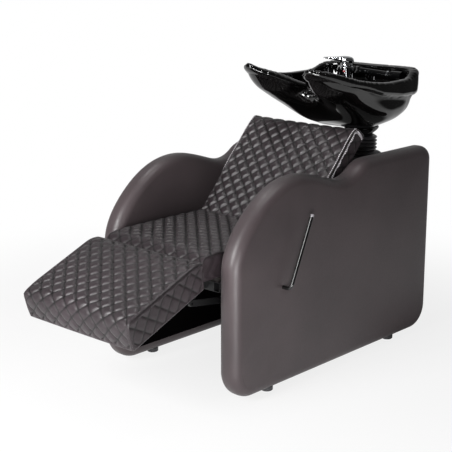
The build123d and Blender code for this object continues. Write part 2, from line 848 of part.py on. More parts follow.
def tilt_bracket():
    """Round plate under the basin with one thick lug on the tilt pin."""
    low, high = tilt_plate_level, tilt_plate_level + tilt_plate_thickness
    plate = rod_z(tilt_plate_radius, low, high, 0, 0)
    half = ear_gap / 2 - side_play
    lug = rod_x(ear_radius * 1.2, -half, half, 0, tilt_height)
    web = [(-ear_radius * 1.2, tilt_height), (ear_radius * 1.2, tilt_height), (ear_radius * 1.6, low),
           (-ear_radius * 1.6, low)]
    bracket = plate + lug + plate_x(web, -half, 2 * half)
    bracket = bracket - rod_x(tilt_pin_radius + running_gap, -ear_gap, ear_gap, 0, tilt_height)
    for x, y in basin_bolt_places():
        bracket = bracket - rod_z(frame_bolt_radius + running_gap, low - overrun, high + overrun, x, y)
    return bracket


def tilt_pin():
    """Pin of the tilt joint with its two end washers."""
    half = ear_gap / 2 + ear_thickness + side_play / 2
    washer = tilt_pin_radius / 2
    pin = rod_x(tilt_pin_radius, -half, half, 0, tilt_height)
    pin = pin + rod_x(tilt_pin_radius * 1.4, -half - washer, -half, 0, tilt_height)
    return pin + rod_x(tilt_pin_radius * 1.4, half, half + washer, 0, tilt_height)


def basin_bolts():
    """Bolts from the tilt bracket up into the basin's foot."""
    bolts = []
    for x, y in basin_bolt_places():
        shank_top = basin_foot_level + frame_bolt_radius * 4
        shank = rod_z(frame_bolt_radius, tilt_plate_level, shank_top, x, y)
        head = extrude(Plane((0, 0, tilt_plate_level - frame_bolt_head_height)) * Pos(x, y)
                       * RegularPolygon(frame_bolt_head_radius, 6), frame_bolt_head_height)
        bolts.append(shank + head)
    return Compound(children=bolts)


def bellows():
    """Ribbed rubber sleeve between the column and the basin's foot."""
    low, high = column_top + head_plate_thickness + fit_gap, tilt_plate_level - side_play
    step = (high - low) / bellows_ribs
    outer = [(bellows_root_radius, low)]
    for rib in range(bellows_ribs):
        outer.append((bellows_radius, low + step * (rib + 0.5)))
        outer.append((bellows_root_radius, low + step * (rib + 1)))
    bore = column_radius
    ring = outer + [(bore, high), (bore, low)]
    section = Plane.XZ * make_face(Polyline(*ring, close=True))
    return revolve(section, axis=Axis.Z)


# Basin sections, bottom to top. Each row holds a share of the height between neck and top, then
# places as shares of the basin's half width (first of a pair) and of its reach forward of the neck
# axis or back of it (second of a pair): front middle, wing flank, wing front, wing shoulder,
# widest point, rear corner, rear middle.
bowl_height_shares = [0.0725, 0.225, 0.37, 0.504, 0.638, 0.79, 1.0]
bowl_front_shares = [-0.340, -0.432, -0.522, -0.578, -0.636, -0.728, -0.825]
bowl_flank_shares = [(0.180, -0.359), (0.248, -0.471), (0.270, -0.587), (0.279, -0.699),
                     (0.280, -0.825), (0.279, -0.947), (0.275, -1.056)]
bowl_wing_shares = [(0.351, -0.367), (0.495, -0.493), (0.550, -0.653), (0.565, -0.811),
                    (0.558, -0.956), (0.541, -1.083), (0.518, -1.184)]
bowl_shoulder_shares = [(0.608, -0.243), (0.775, -0.359), (0.856, -0.510), (0.860, -0.650),
                        (0.830, -0.813), (0.785, -0.942), (0.748, -1.044)]
bowl_side_shares = [(0.586, -0.097), (0.878, -0.146), (0.950, -0.182), (0.970, -0.194),
                    (0.980, -0.206), (0.985, -0.218), (0.985, -0.231)]
bowl_corner_shares = [(0.383, 0.068), (0.743, 0.092), (0.811, 0.125), (0.840, 0.134),
                      (0.858, 0.140), (0.868, 0.145), (0.872, 0.150)]
basin_wall_shares = [2.4, 1.6, 1.1, 1.0, 1.0]
bowl_rear_shares = [0.180, 0.184, 0.184, 0.185, 0.186, 0.187, 0.187]


def between(rows, index, part):
    """Value between two neighbouring rows of a table of numbers or pairs."""
    low, high = rows[index], rows[min(index + 1, len(rows) - 1)]
    if isinstance(low, tuple):
        return tuple(a + (b - a) * part for a, b in zip(low, high))
    return low + (high - low) * part


def bowl_outline(level, inset):
    """Closed smooth outline of the basin at one level, drawn in by inset."""
    share = (level - basin_neck_level) / (basin_top_level - basin_neck_level)
    index = 0
    while index < len(bowl_height_shares) - 2 and share > bowl_height_shares[index + 1]:
        index += 1
    part = (share - bowl_height_shares[index]) / (bowl_height_shares[index + 1] - bowl_height_shares[index])
    half = [(0, between(bowl_front_shares, index, part))]
    for table in (bowl_flank_shares, bowl_wing_shares, bowl_shoulder_shares, bowl_side_shares,
                  bowl_corner_shares):
        half.append(between(table, index, part))
    half.append((0, between(bowl_rear_shares, index, part)))
    ring = [(x * basin_half_width, y * basin_reach) for x, y in half]
    ring += [(-x, y) for x, y in ring[-2:0:-1]]
    return grown(ring, -inset)


def grown(ring, amount):
    """Ring of points moved outwards along the normals of its smooth outline."""
    moved = []
    count = len(ring)
    for index, (x, y) in enumerate(ring):
        before, after = ring[index - 1], ring[(index + 1) % count]
        run = hypot(after[0] - before[0], after[1] - before[1])
        moved.append((x + (after[1] - before[1]) / run * amount, y - (after[0] - before[0]) / run * amount))
    return moved


def level_face(ring, level):
    """Face inside a smooth closed curve through a ring of points."""
    curve = Spline(*[(x, y, level) for x, y in ring], periodic=True)
    return make_face(curve)


def bowl_levels():
    """Heights of the basin's sections."""
    span = basin_top_level - basin_neck_level
    return [basin_neck_level + span * share for share in bowl_height_shares]


# Rim height as shares of the basin's height, at shares of its length from the rear wall forward
rim_place_shares = [1.06, 1.0, 0.93, 0.84, 0.72, 0.60, 0.48, 0.33, 0.215, 0.12, 0.055, 0.0, -0.06]
rim_height_shares = [0.925, 0.925, 0.905, 0.862, 0.808, 0.765, 0.733, 0.713, 0.718, 0.742, 0.800, 0.821, 0.821]
notch_place_shares = [0.0, 0.11, 0.27, 0.45, 0.66]
notch_height_shares = [0.628, 0.672, 0.786, 0.878, 1.02]
band_place_shares = [0.87, 0.76, 0.53, 0.45, 0.215, 0.085, -0.06]
band_height_shares = [0.895, 0.780, 0.626, 0.573, 0.500, 0.485, 0.475]


def basin_level(share):
    """Height at a share of the distance from the neck to the section top."""
    return basin_neck_level + share * (basin_top_level - basin_neck_level)


def basin_place(share):
    """Y at a share of the basin's length, from the rear wall forward."""
    return basin_rear - share * (basin_rear - basin_front)


def above_rim():
    """Everything above the rim line seen from the side."""
    points = [(basin_place(place), basin_level(height))
              for place, height in zip(rim_place_shares, rim_height_shares)]
    curve = Spline(*points)
    high = basin_top_level + overrun
    lid = make_face([curve, Line(points[-1], (points[-1][0], high)),
                     Line((points[-1][0], high), (points[0][0], high)), Line((points[0][0], high), points[0])])
    return extrude(side_plane(-basin_half_width * 1.2) * lid, basin_half_width * 2.4)


def above_notch():
    """Everything above the neck notch seen from the front, as far back as its wall."""
    half = [(place * basin_half_width, basin_level(height))
            for place, height in zip(notch_place_shares, notch_height_shares)]
    points = [(-x, z) for x, z in half[:0:-1]] + half
    curve = Spline(*points)
    high = basin_top_level + 2 * overrun
    lid = make_face([curve, Line(points[-1], (points[-1][0], high)),
                     Line((points[-1][0], high), (points[0][0], high)), Line((points[0][0], high), points[0])])
    front = Plane(origin=(0, basin_front - basin_band, 0), x_dir=(1, 0, 0), z_dir=(0, -1, 0))
    return extrude(front * lid, -(basin_rear - basin_front) / 2)


def below_band():
    """Everything below and in front of the raised band round the basin."""
    points = [(basin_place(place), basin_level(height))
              for place, height in zip(band_place_shares, band_height_shares)]
    curve = Spline(*points)
    low = basin_foot_level - overrun
    front = basin_front - basin_half_width / 2
    high = basin_top_level + overrun
    face = make_face([curve, Line(points[-1], (points[-1][0], low)), Line((points[-1][0], low), (front, low)),
                      Line((front, low), (front, high)), Line((front, high), (points[0][0], high)),
                      Line((points[0][0], high), points[0])])
    return extrude(side_plane(-basin_half_width * 1.2) * face, basin_half_width * 2.4)


def round_ring(radius_x, radius_y, centre_y):
    """Twelve points round an ellipse on the basin's middle line, front first."""
    steps = 12
    return [(radius_x * sin(2 * pi * step / steps), centre_y - radius_y * cos(2 * pi * step / steps))
            for step in range(steps)]


def bowl_hollow():
    """Inside of the basin: one flowing hollow, less the deck that carries the fittings."""
    levels = bowl_levels()
    floor = round_ring(drain_radius * 3.6, drain_radius * 2.4, drain_y)
    sections = [level_face(floor, basin_floor_level)]
    for level, inset in zip(levels[2:-1] + [basin_top_level + overrun], basin_wall_shares):
        sections.append(level_face(bowl_outline(level, inset * basin_wall), level))
    reach = basin_half_width + overrun
    return loft(sections) - block(-reach, reach, basin_deck_front, basin_rear + reach,
                                  basin_floor_level - overrun, basin_deck_level)


def under_deck_hollow():
    """Service space below the deck, open to the neck, where hoses and the lock nut are."""
    top = basin_deck_level - basin_deck_thickness
    front = basin_deck_front + basin_wall
    rear = basin_rear - 3 * basin_wall
    half = basin_half_width * 0.66
    room = block(-half, half, front, rear, top - 2 * neck_bore_radius, top)
    room = fillet(room.edges().filter_by(Axis.Z), basin_wall)
    bore = rod_z(neck_bore_radius, basin_foot_level - overrun, top - neck_bore_radius, 0, 0)
    chute = loft([Plane((0, 0, basin_neck_level)) * Circle(neck_bore_radius),
                  Plane((0, (front + rear) / 2, top - 2 * neck_bore_radius + overrun))
                  * Ellipse(neck_bore_radius * 2, (rear - front) / 2 - side_play)], ruled=True)
    return room, bore, chute


def drain_passage():
    """Drain hole in the bowl floor and the slanted way from it into the neck."""
    depth = basin_wall * 1.6
    hole = rod_z(drain_radius, basin_floor_level - depth, basin_floor_level + overrun, 0, drain_y)
    start = Vector(0, drain_y, basin_floor_level - depth + overrun)
    end = Vector(0, -neck_bore_radius / 2, basin_neck_level - overrun)
    run = end - start
    slant = extrude(Plane(origin=start, z_dir=run.normalized()) * Circle(drain_slant_radius), run.length)
    return hole, slant


def basin():
    """Glazed ceramic basin: bowl, neck notch between two wings, raised band, deck and foot."""
    levels = bowl_levels()
    sections = [level_face(round_ring(basin_foot_radius, basin_foot_radius, 0), basin_foot_level)]
    sections.append(level_face(round_ring(basin_neck_radius, basin_neck_radius, 0), basin_neck_level))
    body = loft(sections + [level_face(bowl_outline(level, 0), level) for level in levels])
    low, high = basin_level(band_height_shares[-1]) - overrun, basin_top_level + overrun
    band = extrude(level_face(bowl_outline(levels[4], -basin_band), low), high - low)
    band = band - extrude(level_face(bowl_outline(levels[4], basin_wall / 2), low), high - low)
    body = body + (band - below_band())
    body = body - above_rim()
    body = body - above_notch()
    body = body - bowl_hollow()
    body = body - list(under_deck_hollow())
    body = body - list(drain_passage())
    body = body - rod_z(shank_radius + side_play, basin_deck_level - basin_deck_thickness - overrun,
                        basin_deck_level + overrun, mixer_x, mixer_y)
    for x, y in basin_bolt_places():
        body = body - rod_z(frame_bolt_radius + running_gap, basin_foot_level - overrun,
                            basin_foot_level + frame_bolt_radius * 4 + side_play, x, y)
    return body


def drain_flange():
    """Steel waste flange in the bowl floor with its tail in the drain hole."""
    flange = rod_z(drain_radius * 1.35, basin_floor_level, basin_floor_level + flange_thickness, 0, drain_y)
    tail = rod_z(drain_radius - running_gap, basin_floor_level - basin_wall, basin_floor_level, 0, drain_y)
    return flange + tail - rod_z(catcher_radius + side_play, basin_floor_level - basin_wall - overrun,
                                 basin_floor_level + flange_thickness + overrun, 0, drain_y)


def hair_catcher():
    """Lift-out strainer cup that sits on the drain flange."""
    seat = basin_floor_level + flange_thickness
    disc = rod_z(catcher_radius * 1.4, seat, seat + catcher_thickness, 0, drain_y)
    depth = basin_wall
    cup = rod_z(catcher_radius, seat - depth, seat, 0, drain_y)
    cup = cup - rod_z(catcher_radius - catcher_thickness, seat - depth + catcher_thickness, seat, 0, drain_y)
    catcher = disc + cup
    for turn in range(catcher_holes):
        angle = 2 * pi * turn / catcher_holes
        ring = catcher_radius * 0.6
        catcher = catcher - rod_z(catcher_thickness, seat - depth - overrun, seat + catcher_thickness + overrun,
                                  ring * cos(angle), drain_y + ring * sin(angle))
    return catcher


def mixer_body():
    """Chrome mixer body on the deck with its threaded shank below."""
    base = rod_z(mixer_radius * 1.15, basin_deck_level, basin_deck_level + mixer_base_height, mixer_x, mixer_y)
    barrel = rod_z(mixer_radius, basin_deck_level, basin_deck_level + mixer_body_height, mixer_x, mixer_y)
    barrel = fillet(barrel.edges().group_by(Axis.Z)[-1], mixer_radius / 6)
    shank = rod_z(shank_radius, basin_deck_level - shank_length, basin_deck_level, mixer_x, mixer_y)
    top = basin_deck_level + mixer_body_height
    socket = rod_z(spindle_radius + running_gap, top - spindle_depth, top + overrun, mixer_x, mixer_y)
    return base + barrel + shank - socket - mixer_mark()


def mixer_nut():
    """Lock nut under the deck."""
    high = basin_deck_level - basin_deck_thickness
    nut = extrude(Plane((0, 0, high - nut_height)) * Pos(mixer_x, mixer_y) * RegularPolygon(shank_radius * 1.5, 6),
                  nut_height)
    return nut - rod_z(shank_radius, high - nut_height - overrun, high + overrun, mixer_x, mixer_y)


def mixer_spindle():
    """Cartridge spindle and the dome on which the handle rocks."""
    spindle = rod_z(spindle_radius, mixer_top - spindle_depth, mixer_top + fit_gap, mixer_x, mixer_y)
    dome = Pos(mixer_x, mixer_y, pivot_level) * Sphere(dome_radius)
    reach = 2 * mixer_radius
    dome = dome - block(mixer_x - reach, mixer_x + reach, mixer_y - reach, mixer_y + reach,
                        mixer_top + fit_gap - reach, mixer_top + fit_gap)
    return spindle + dome


def mixer_handle_frame():
    """Plane of the mixer handle's rim: first axis points along the lever."""
    turn = radians(lever_aim)
    return Plane(origin=(mixer_x, mixer_y, pivot_level + handle_rim_rise), x_dir=(cos(turn), sin(turn), 0),
                 z_dir=(0, 0, 1))


def mixer_handle():
    """Cap and flat lever of the mixer, hollowed to rock on the spindle's dome."""
    frame = mixer_handle_frame()
    cap = extrude(frame * Circle(mixer_radius), handle_height)
    cap = fillet(cap.edges().group_by(Axis.Z)[-1], handle_height / 4)
    start, end = mixer_radius / 2, mixer_lever_length
    bar_low, bar_high = handle_height * 0.45, handle_height * 0.85
    root = Plane(origin=frame.from_local_coords((start, 0, (bar_low + bar_high) / 2)), x_dir=frame.y_dir,
                 z_dir=frame.x_dir)
    tip = Plane(origin=frame.from_local_coords((end, 0, bar_high)), x_dir=frame.y_dir, z_dir=frame.x_dir)
    root_shape = root * RectangleRounded(mixer_radius * 1.1, bar_high - bar_low, handle_height / 8)
    tip_shape = tip * RectangleRounded(mixer_radius * 0.8, (bar_high - bar_low) * 0.6, handle_height / 16)
    handle = cap + loft([root_shape, tip_shape], ruled=True)
    return handle - Pos(mixer_x, mixer_y, pivot_level) * Sphere(dome_radius + dome_gap)


def mixer_mark():
    """Round hot and cold mark on the front of the mixer body."""
    turn = radians(mark_aim)
    direction = Vector(cos(turn), sin(turn), 0)
    level = basin_deck_level + mixer_body_height * 0.72
    start = Vector(mixer_x, mixer_y, level) + direction * (mixer_radius - mark_radius / 8)
    return extrude(Plane(origin=start, z_dir=direction) * Circle(mark_radius), mark_radius / 2)


def shower_elbow():
    """Chrome elbow on the deck that holds the hand shower's handle."""
    low = basin_deck_level
    base = rod_z(shower_elbow_radius * 1.5, low, low + mixer_base_height, shower_elbow_x, shower_y)
    post = rod_z(shower_elbow_radius, low, shower_level, shower_elbow_x, shower_y)
    socket = rod_x(shower_elbow_radius * 1.25, shower_elbow_x - shower_socket_length,
                   shower_elbow_x + shower_elbow_radius, shower_y, shower_level)
    bore = rod_x(shower_handle_radius * 0.8 + running_gap, shower_elbow_x - shower_socket_length - overrun,
                 shower_elbow_x - shower_elbow_radius / 2, shower_y, shower_level)
    return base + post + socket - bore


def shower_handle():
    """Black handle of the hand shower, its tail in the elbow's socket."""
    tail_x = shower_elbow_x - shower_elbow_radius / 2 - side_play
    face_x = shower_elbow_x - shower_socket_length - side_play
    tip_x = face_x - shower_reach + shower_head_radius
    tail = rod_x(shower_handle_radius * 0.8, face_x, tail_x, shower_y, shower_level)
    grip_root = side_plane(face_x) * Pos(shower_y, shower_level) * Circle(shower_handle_radius)
    grip_tip = side_plane(tip_x) * Pos(shower_y, shower_level + shower_rise) * Circle(shower_handle_radius * 0.85)
    grip = loft([grip_root, grip_tip], ruled=True)
    head = revolve(Plane.XZ * make_face(Polyline(*shower_head_profile(), close=True)), axis=Axis.Z)
    place = Pos(tip_x - shower_head_radius / 2, shower_y, shower_level + shower_rise)
    return tail + grip + place * Rot(-head_tilt, 0, 0) * head


def shower_head_profile():
    """Half section of the shower head, wide face downwards."""
    deep = shower_head_radius * 0.62
    return [(0, -deep), (shower_head_radius, -deep), (shower_head_radius, -deep / 2),
            (shower_head_radius * 0.6, deep * 0.8), (0, deep)]


def shower_collar():
    """Chrome ring round the root of the shower handle."""
    face_x = shower_elbow_x - shower_socket_length - side_play
    start = face_x - collar_height * 2
    ring = rod_x(shower_handle_radius * 1.25, start, start + collar_height, shower_y, shower_level)
    return ring - shower_handle()


def waste_clip():
    """Clip that holds the floor pipe to the column."""
    level = column_top / 3
    direction = waste_direction()
    ring = rod_z(waste_radius + column_wall, level, level + base_tube_depth / 2, waste_x, waste_y)
    run = Vector(waste_x, waste_y, level + base_tube_depth / 4)
    arm = extrude(Plane(origin=run, z_dir=direction) * Rectangle(base_tube_depth / 2, base_tube_depth / 2),
                  hypot(waste_x, waste_y) - column_radius + side_play)
    bore = rod_z(waste_radius, level - overrun, level + base_tube_depth, waste_x, waste_y)
    drum = rod_z(column_radius, level - overrun, level + base_tube_depth, 0, 0)
    return ring + arm - bore - drum


def chair_nodes():
    """Nodes of the chair, about the middle of its panels."""
    nodes = {}
    for name, side in both_sides:
        skin, core, board = side_panel(side)
        nodes[name + "_side_upholstery"] = skin
        nodes[name + "_side_core"] = core
        nodes[name + "_inner_board"] = board
        nodes[name + "_seat_rail"] = seat_rail(side)
        nodes[name + "_bearing_plate"] = bearing_plate(side)
        nodes[name + "_hinge_lug"] = hinge_lug(side)
        nodes[name + "_legrest_arm"] = legrest_arm(side)
        nodes[name + "_crank"] = crank(side)
        nodes[name + "_link_bar"] = link_bar(side)
        nodes[name + "_back_upright"] = upright(side) + upright_foot(side)
    nodes["glide_feet"] = glides()
    nodes["frame_bolts"] = frame_bolts()
    nodes["front_cross_tube"] = front_cross_tube()
    nodes["rear_cross_tube"] = rear_cross_tube()
    nodes["seat_board"] = seat_board()
    nodes["seat_cushion"] = seat_cushion()
    nodes["back_board"] = back_board()
    nodes["back_cushion"] = back_cushion()
    nodes["back_cross_tube"] = back_cross_tube()
    nodes["hinge_pins"] = hinge_pins()
    nodes["legrest_board"] = legrest_board()
    nodes["legrest_cushion"] = legrest_cushion()
    nodes["torsion_tube"] = torsion_tube()
    nodes["crank_pins"] = link_pins(crank_pin())
    nodes["lever_bush"] = lever_bush()
    nodes["lever_bar"] = lever_bar()
    nodes["lever_cap"] = lever_cap()
    return nodes


def column_nodes():
    """Nodes of the basin and its column, about the column's axis."""
    nodes = {}
    nodes["base_plate"] = base_plate()
    nodes["base_cross_tube"] = base_cross_tube()
    nodes["column_tube"] = column_tube()
    nodes["column_head"] = column_head()
    nodes["tilt_pin"] = tilt_pin()
    nodes["tilt_bracket"] = tilt_bracket()
    nodes["basin_bolts"] = basin_bolts()
    nodes["column_bellows"] = bellows()
    nodes["basin"] = basin()
    nodes["drain_flange"] = drain_flange()
    nodes["hair_catcher"] = hair_catcher()
    nodes["mixer_body"] = mixer_body()
    nodes["mixer_nut"] = mixer_nut()
    nodes["mixer_spindle"] = mixer_spindle()
    nodes["mixer_handle"] = mixer_handle()
    nodes["mixer_mark"] = mixer_mark()
    nodes["shower_elbow"] = shower_elbow()
    nodes["shower_handle"] = shower_handle()
    nodes["shower_collar"] = shower_collar()
    nodes["waste_pipe"] = waste_pipe()
    nodes["waste_elbow"] = waste_elbow()
    nodes["waste_clip"] = waste_clip()
    return nodes


def main():
    """Write each node as a STEP file."""
    os.makedirs("parts", exist_ok=True)
    for name, shape in chair_nodes().items():
        export_step(Pos(0, -panel_lead, 0) * shape, os.path.join("parts", name + ".step"))
    for name, shape in column_nodes().items():
        export_step(shape, os.path.join("parts", name + ".step"))


if __name__ == "__main__":
    main()
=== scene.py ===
"""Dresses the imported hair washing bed: quilted pads, upholstered arms, glazed basin, studio."""
import logging
import math
from dataclasses import dataclass
from enum import Enum

import bmesh
import bpy
import numpy as np
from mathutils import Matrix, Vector
from mathutils.bvhtree import BVHTree
from mathutils.geometry import delaunay_2d_cdt


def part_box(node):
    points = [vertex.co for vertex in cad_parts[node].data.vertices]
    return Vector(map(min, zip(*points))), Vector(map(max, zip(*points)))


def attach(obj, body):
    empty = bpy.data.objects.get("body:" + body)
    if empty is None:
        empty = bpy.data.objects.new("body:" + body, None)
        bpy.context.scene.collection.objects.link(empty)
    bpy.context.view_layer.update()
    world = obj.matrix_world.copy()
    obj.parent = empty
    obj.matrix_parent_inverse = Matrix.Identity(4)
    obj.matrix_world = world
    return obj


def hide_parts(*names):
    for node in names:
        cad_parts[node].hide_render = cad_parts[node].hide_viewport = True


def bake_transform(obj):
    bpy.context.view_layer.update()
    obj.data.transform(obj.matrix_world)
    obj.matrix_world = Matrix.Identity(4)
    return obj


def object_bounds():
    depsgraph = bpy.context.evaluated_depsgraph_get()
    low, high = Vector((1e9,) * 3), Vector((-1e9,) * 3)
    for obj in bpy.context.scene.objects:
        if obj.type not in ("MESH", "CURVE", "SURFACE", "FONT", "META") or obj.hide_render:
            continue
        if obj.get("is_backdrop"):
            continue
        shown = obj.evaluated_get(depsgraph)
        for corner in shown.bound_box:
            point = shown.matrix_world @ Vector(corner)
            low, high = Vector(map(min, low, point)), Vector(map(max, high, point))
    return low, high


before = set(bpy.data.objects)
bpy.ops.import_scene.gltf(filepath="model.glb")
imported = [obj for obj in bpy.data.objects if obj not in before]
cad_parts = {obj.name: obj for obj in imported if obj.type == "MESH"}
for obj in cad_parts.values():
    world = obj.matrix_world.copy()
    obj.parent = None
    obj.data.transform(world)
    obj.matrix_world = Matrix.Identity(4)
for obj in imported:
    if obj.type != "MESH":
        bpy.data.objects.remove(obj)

LOG = logging.getLogger("hair_washing_bed")
MM = 0.001
PANEL_LEAD = 484.0
WHITE = (1.0, 1.0, 1.0, 1.0)
Mesh, Piece, Socket, Tree = bpy.types.Mesh, bpy.types.Object, bpy.types.NodeSocket, bpy.types.NodeTree


class Side(Enum):
    """Sides of the chair as the sitter has them."""

    LEFT = 1
    RIGHT = -1

    @property
    def label(self) -> str:
        """Word that the side's nodes start with."""
        return self.name.lower()


class Patch(Enum):
    """Panels that a pad's cover is sewn from."""

    TOP = 0
    FRONT = 1
    SIDE = 2
    REAR = 3
    BASE = 4


def linear(code: str) -> tuple[float, float, float, float]:
    """Turns an sRGB hex code into linear colour.

    Args:
        code: six hex digits.

    Returns:
        Linear red, green, blue and an alpha of one.
    """
    parts = [int(code[at:at + 2], 16) / 255 for at in (0, 2, 4)]
    values = [p / 12.92 if p <= 0.04045 else ((p + 0.055) / 1.055) ** 2.4 for p in parts]
    return (values[0], values[1], values[2], 1.0)


def add_node(tree: Tree, kind: str, settings: dict | None = None, values: dict | None = None,
             links: dict | None = None, stops: list[tuple[float, str]] | None = None) -> bpy.types.Node:
    """Adds one node with its settings, socket values, incoming links and colour stops.

    Args:
        tree: tree that gets the node.
        kind: Blender's name of the node type.
        settings: properties of the node.
        values: default values by socket name or number.
        links: source sockets by socket name or number.
        stops: places and hex codes of a colour ramp.

    Returns:
        The new node.
    """
    node = tree.nodes.new(kind)
    for key, value in (settings or {}).items():
        setattr(node, key, value)
    for key, value in (values or {}).items():
        node.inputs[key].default_value = value
    for key, source in (links or {}).items():
        tree.links.new(source, node.inputs[key])
    for index, (place, code) in enumerate(stops or []):
        ramp = node.color_ramp.elements
        stop = ramp[index] if index < 2 else ramp.new(place)
        stop.position = place
        stop.color = linear(code)
    return node


def noise(tree: Tree, place: Socket, scale: float, detail: float = 2.0, roughness: float = 0.5) -> Socket:
    """Noise over a piece's own coordinates."""
    values = {"Scale": scale, "Detail": detail, "Roughness": roughness}
    return add_node(tree, "ShaderNodeTexNoise", values=values, links={"Vector": place}).outputs["Fac"]


def two_tones(tree: Tree, source: Socket, first: tuple[float, str], last: tuple[float, str]) -> Socket:
    """Colour between two stops."""
    return add_node(tree, "ShaderNodeValToRGB", links={"Fac": source}, stops=[first, last]).outputs["Color"]


def spread(tree: Tree, source: Socket, taken: tuple[float, float], given: tuple[float, float],
           eased: bool = False) -> Socket:
    """Maps one range of a value onto another.

    Args:
        tree: tree that gets the node.
        source: value to map.
        taken: range that is read.
        given: range that it becomes.
        eased: whether the ends are soft.

    Returns:
        The mapped value.
    """
    values = dict(zip(("From Min", "From Max", "To Min", "To Max"), (*taken, *given)))
    settings = {"interpolation_type": "SMOOTHSTEP" if eased else "LINEAR"}
    return add_node(tree, "ShaderNodeMapRange", settings, values, {"Value": source}).outputs["Result"]


def bump(tree: Tree, height: Socket, strength: float, depth_mm: float, below: Socket | None = None,
         invert: bool = False) -> Socket:
    """Adds relief, on top of other relief where there is some.

    Args:
        tree: tree that gets the node.
        height: relief pattern.
        strength: share of the relief that shows.
        depth_mm: depth in millimetres.
        below: relief that this one lies on.
        invert: whether high values go in.

    Returns:
        The new normal.
    """
    links = {"Height": height} if below is None else {"Height": height, "Normal": below}
    values = {"Strength": strength, "Distance": depth_mm * MM}
    return add_node(tree, "ShaderNodeBump", {"invert": invert}, values, links).outputs["Normal"]


@dataclass(frozen=True)
class Finish:
    """A surface as it is made, and the shader that stands for it."""

    name: str

    def material(self) -> bpy.types.Material:
        """Material for this finish, made on first use.

        Returns:
            The shared material.
        """
        found = bpy.data.materials.get(self.name)
        if found:
            return found
        material = bpy.data.materials.new(self.name)
        material.use_nodes = True
        tree = material.node_tree
        tree.nodes.clear()
        links, values = self.draw(tree, add_node(tree, "ShaderNodeTexCoord").outputs["Object"])
        surface = add_node(tree, "ShaderNodeBsdfPrincipled", values=values, links=links)
        add_node(tree, "ShaderNodeOutputMaterial", links={"Surface": surface.outputs[0]})
        return material

    def draw(self, tree: Tree, place: Socket) -> tuple[dict, dict]:
        """Links and values of the surface shader."""
        raise NotImplementedError


@dataclass(frozen=True)
class Leatherette(Finish):
    """Vinyl-coated upholstery cloth with an embossed pebble grain, stretched over foam."""

    tone: str
    shade: str
    roughness: float
    grain_mm: float
    grain_depth_mm: float
    quilted: bool = False

    def draw(self, tree: Tree, place: Socket) -> tuple[dict, dict]:
        """Pebble grain, slow tone drift and, on quilting, sewn channels darkened with painted shade.

        Args:
            tree: tree of the material.
            place: the piece's own coordinates.

        Returns:
            Links and values of the surface shader.
        """
        colour = two_tones(tree, noise(tree, place, 5.0, 3.0), (0.3, self.shade), (0.7, self.tone))
        if self.quilted:
            # Painted shade: the pad's shade attribute darkens the sewn channels and seam lines
            channel_shade_attribute = add_node(tree, "ShaderNodeAttribute", {"attribute_name": "quilt"})
            depth = two_tones(tree, channel_shade_attribute.outputs["Fac"], (0.0, "303030"), (0.6, "ffffff"))
            painted_channel_shade = add_node(tree, "ShaderNodeVectorMath", {"operation": "MULTIPLY"},
                            links={0: colour, 1: depth})
            colour = painted_channel_shade.outputs["Vector"]
        crease = noise(tree, place, 130.0, 4.0, 0.6)
        wear = spread(tree, crease, (0.3, 0.7), (self.roughness - 0.05, self.roughness + 0.07))
        pebble = add_node(tree, "ShaderNodeTexVoronoi", {"feature": "SMOOTH_F1"},
                          {"Scale": 1000 / self.grain_mm, "Smoothness": 0.6}, {"Vector": place})
        relief = bump(tree, noise(tree, place, 11.0), 0.25, 2.5)
        relief = bump(tree, crease, 0.2, 0.4, relief)
        relief = bump(tree, pebble.outputs["Distance"], 0.55, self.grain_depth_mm, relief, invert=True)
        return ({"Base Color": colour, "Roughness": wear, "Normal": relief},
                {"IOR": 1.5, "Sheen Weight": 0.06, "Sheen Roughness": 0.5})


@dataclass(frozen=True)
class Mottled(Finish):
    """Rigid finish: two close tones, a roughness range and a fine relief at a real scale."""

    tone: str
    shade: str
    roughness: tuple[float, float]
    spot_mm: float
    relief_mm: float
    metallic: float = 0.0
    ior: float | None = None
    coat: float = 0.0

    def draw(self, tree: Tree, place: Socket) -> tuple[dict, dict]:
        """Noise at the finish's own scale drives tone, roughness and relief.

        Args:
            tree: tree of the material.
            place: the piece's own coordinates.

        Returns:
            Links and values of the surface shader.
        """
        cloud = noise(tree, place, 14.0, 3.0)
        links = {"Base Color": two_tones(tree, cloud, (0.32, self.shade), (0.68, self.tone)),
                 "Roughness": spread(tree, cloud, (0.3, 0.7), self.roughness),
                 "Normal": bump(tree, noise(tree, place, 1000 / self.spot_mm, 3.0), 0.4, self.relief_mm)}
        values = {"Metallic": self.metallic}
        if self.ior is not None:
            values["IOR"] = self.ior
        if self.coat:
            values |= {"Coat Weight": self.coat, "Coat Roughness": 0.03}
        return links, values


@dataclass(frozen=True)
class Plywood(Finish):
    """Black-stained birch plywood with long grain."""

    tone: str
    shade: str

    def draw(self, tree: Tree, place: Socket) -> tuple[dict, dict]:
        """Stretched noise stands for the grain."""
        along = add_node(tree, "ShaderNodeMapping", values={"Scale": (160.0, 9.0, 160.0)},
                         links={"Vector": place})
        grain = noise(tree, along.outputs["Vector"], 1.0, 5.0)
        tone = two_tones(tree, grain, (0.3, self.shade), (0.7, self.tone))
        return {"Base Color": tone, "Normal": bump(tree, grain, 0.3, 0.3)}, {"Roughness": 0.62}


@dataclass(frozen=True)
class SewingThread(Finish):
    """Bonded polyester thread with its twist."""

    tone: str
    shade: str

    def draw(self, tree: Tree, place: Socket) -> tuple[dict, dict]:
        """Slanted bands stand for the twisted plies."""
        twist = add_node(tree, "ShaderNodeTexWave", {"bands_direction": "DIAGONAL"}, {"Scale": 420.0},
                         {"Vector": place})
        tone = two_tones(tree, twist.outputs["Fac"], (0.0, self.shade), (0.6, self.tone))
        return {"Base Color": tone}, {"Roughness": 0.55, "Sheen Weight": 0.2}


# Smooth charcoal vinyl on the arms: broad soft highlights on the rolled edges, fine pebble grain
ARM_LEATHER = Leatherette("charcoal_upholstery_vinyl", "433a3c", "3a3234", 0.43, 1.3, 0.16)
